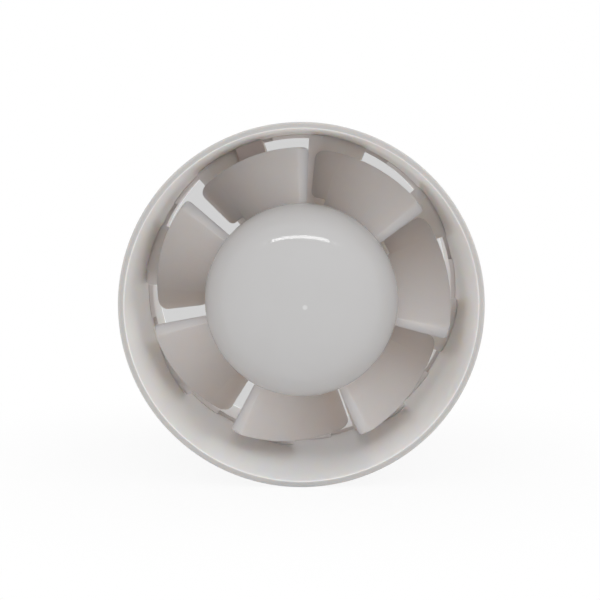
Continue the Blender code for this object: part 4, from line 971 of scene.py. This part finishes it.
def make_window_card():
    """Card just behind the discharge opening, glowing grey: painted shade that shows between the vanes.

    It has one side, so it doesn't show from behind, and it neither lights nor shades the fan.
    """
    made = bpy.data.materials.new("window_painted_shade")
    made.use_nodes = True
    tree = made.node_tree
    tree.nodes.clear()
    side = tree.nodes.new("ShaderNodeNewGeometry")
    front = tree.nodes.new("ShaderNodeMath")
    front.operation = "SUBTRACT"
    front.use_clamp = True
    clear = tree.nodes.new("ShaderNodeBsdfTransparent")
    paper_and_painted_shade = tree.nodes.new("ShaderNodeEmission")
    paper_and_painted_shade.inputs["Color"].default_value = (CARD_SHADE, CARD_SHADE, CARD_SHADE, 1.0)
    mix = tree.nodes.new("ShaderNodeMixShader")
    out = tree.nodes.new("ShaderNodeOutputMaterial")
    link = tree.links.new
    link(seen_directly(tree), front.inputs[0])
    link(side.outputs["Backfacing"], front.inputs[1])
    link(front.outputs["Value"], mix.inputs["Fac"])
    link(clear.outputs["BSDF"], mix.inputs[1])
    link(paper_and_painted_shade.outputs["Emission"], mix.inputs[2])
    link(mix.outputs["Shader"], out.inputs["Surface"])
    card = studio_card("window_card", SLEEVE_BORE, made)
    card.location = (0.0, SLEEVE_LENGTH / 2 + 0.6 * MM, 0.0)
    card.rotation_euler = (math.pi / 2, 0.0, 0.0)


def make_light_row():
    """A strip light with small lamps along its top edge. It only shows as a reflection."""
    made = bpy.data.materials.new("strip_light")
    made.use_nodes = True
    tree = made.node_tree
    tree.nodes.clear()
    where = tree.nodes.new("ShaderNodeTexCoord")
    parts = tree.nodes.new("ShaderNodeSeparateXYZ")
    across = tree.nodes.new("ShaderNodeMath")
    across.operation = "ABSOLUTE"
    level = tree.nodes.new("ShaderNodeValToRGB")
    stops = level.color_ramp.elements
    stops[0].position = ROW_HALF_LENGTH
    stops[0].color = (1.0, 1.0, 1.0, 1.0)
    stops[1].position = ROW_HALF_LENGTH + 0.005
    stops[1].color = (0.0, 0.0, 0.0, 1.0)
    stops.new(ROW_HALF_LENGTH + 0.04).color = (0.0, 0.0, 0.0, 1.0)
    stops.new(ROW_HALF_LENGTH + 0.09).color = (SIDE_LEVEL, SIDE_LEVEL, SIDE_LEVEL, 1.0)
    stops.new(ROW_REACH).color = (0.0, 0.0, 0.0, 1.0)
    power = tree.nodes.new("ShaderNodeMath")
    power.operation = "MULTIPLY"
    power.inputs[1].default_value = ROW_LEVEL
    path = tree.nodes.new("ShaderNodeLightPath")
    clear = tree.nodes.new("ShaderNodeBsdfTransparent")
    glow = tree.nodes.new("ShaderNodeEmission")
    mix = tree.nodes.new("ShaderNodeMixShader")
    out = tree.nodes.new("ShaderNodeOutputMaterial")
    link = tree.links.new
    link(where.outputs["Object"], parts.inputs["Vector"])
    link(parts.outputs["X"], across.inputs[0])
    link(across.outputs["Value"], level.inputs["Fac"])
    link(level.outputs["Color"], power.inputs[0])
    link(power.outputs["Value"], glow.inputs["Strength"])
    link(path.outputs["Is Glossy Ray"], mix.inputs["Fac"])
    link(clear.outputs["BSDF"], mix.inputs[1])
    link(glow.outputs["Emission"], mix.inputs[2])
    link(mix.outputs["Shader"], out.inputs["Surface"])

    shapes = [block(2 * ROW_REACH, 0.002, -ROW_HEIGHT / 2, ROW_HEIGHT / 2)]
    pitch = 2 * ROW_HALF_LENGTH / ROW_LAMPS
    for index in range(ROW_LAMPS):
        middle = pitch * (index + 0.5) - ROW_HALF_LENGTH
        shapes.append(block(pitch * 0.5, 0.002, ROW_HEIGHT / 2, ROW_HEIGHT / 2 + LAMP_HEIGHT, middle))
    row = staged("strip_light", gathered(shapes), made)
    row.location = ROW_PLACE
    row.rotation_euler = (0.0, ROW_TILT, 0.0)


ROW_PLACE = (-0.031, -1.035, 0.82)
ROW_TILT = math.radians(1.45)
ROW_HALF_LENGTH = 0.434
ROW_REACH = 0.95
ROW_HEIGHT = 0.10
ROW_LAMPS = 30
LAMP_HEIGHT = 0.035
ROW_LEVEL = 9.0
SIDE_LEVEL = 0.3

make_world()
make_floor()
make_window_card()
make_light_row()
make_lamps()

SCENE.view_settings.view_transform = "Standard"
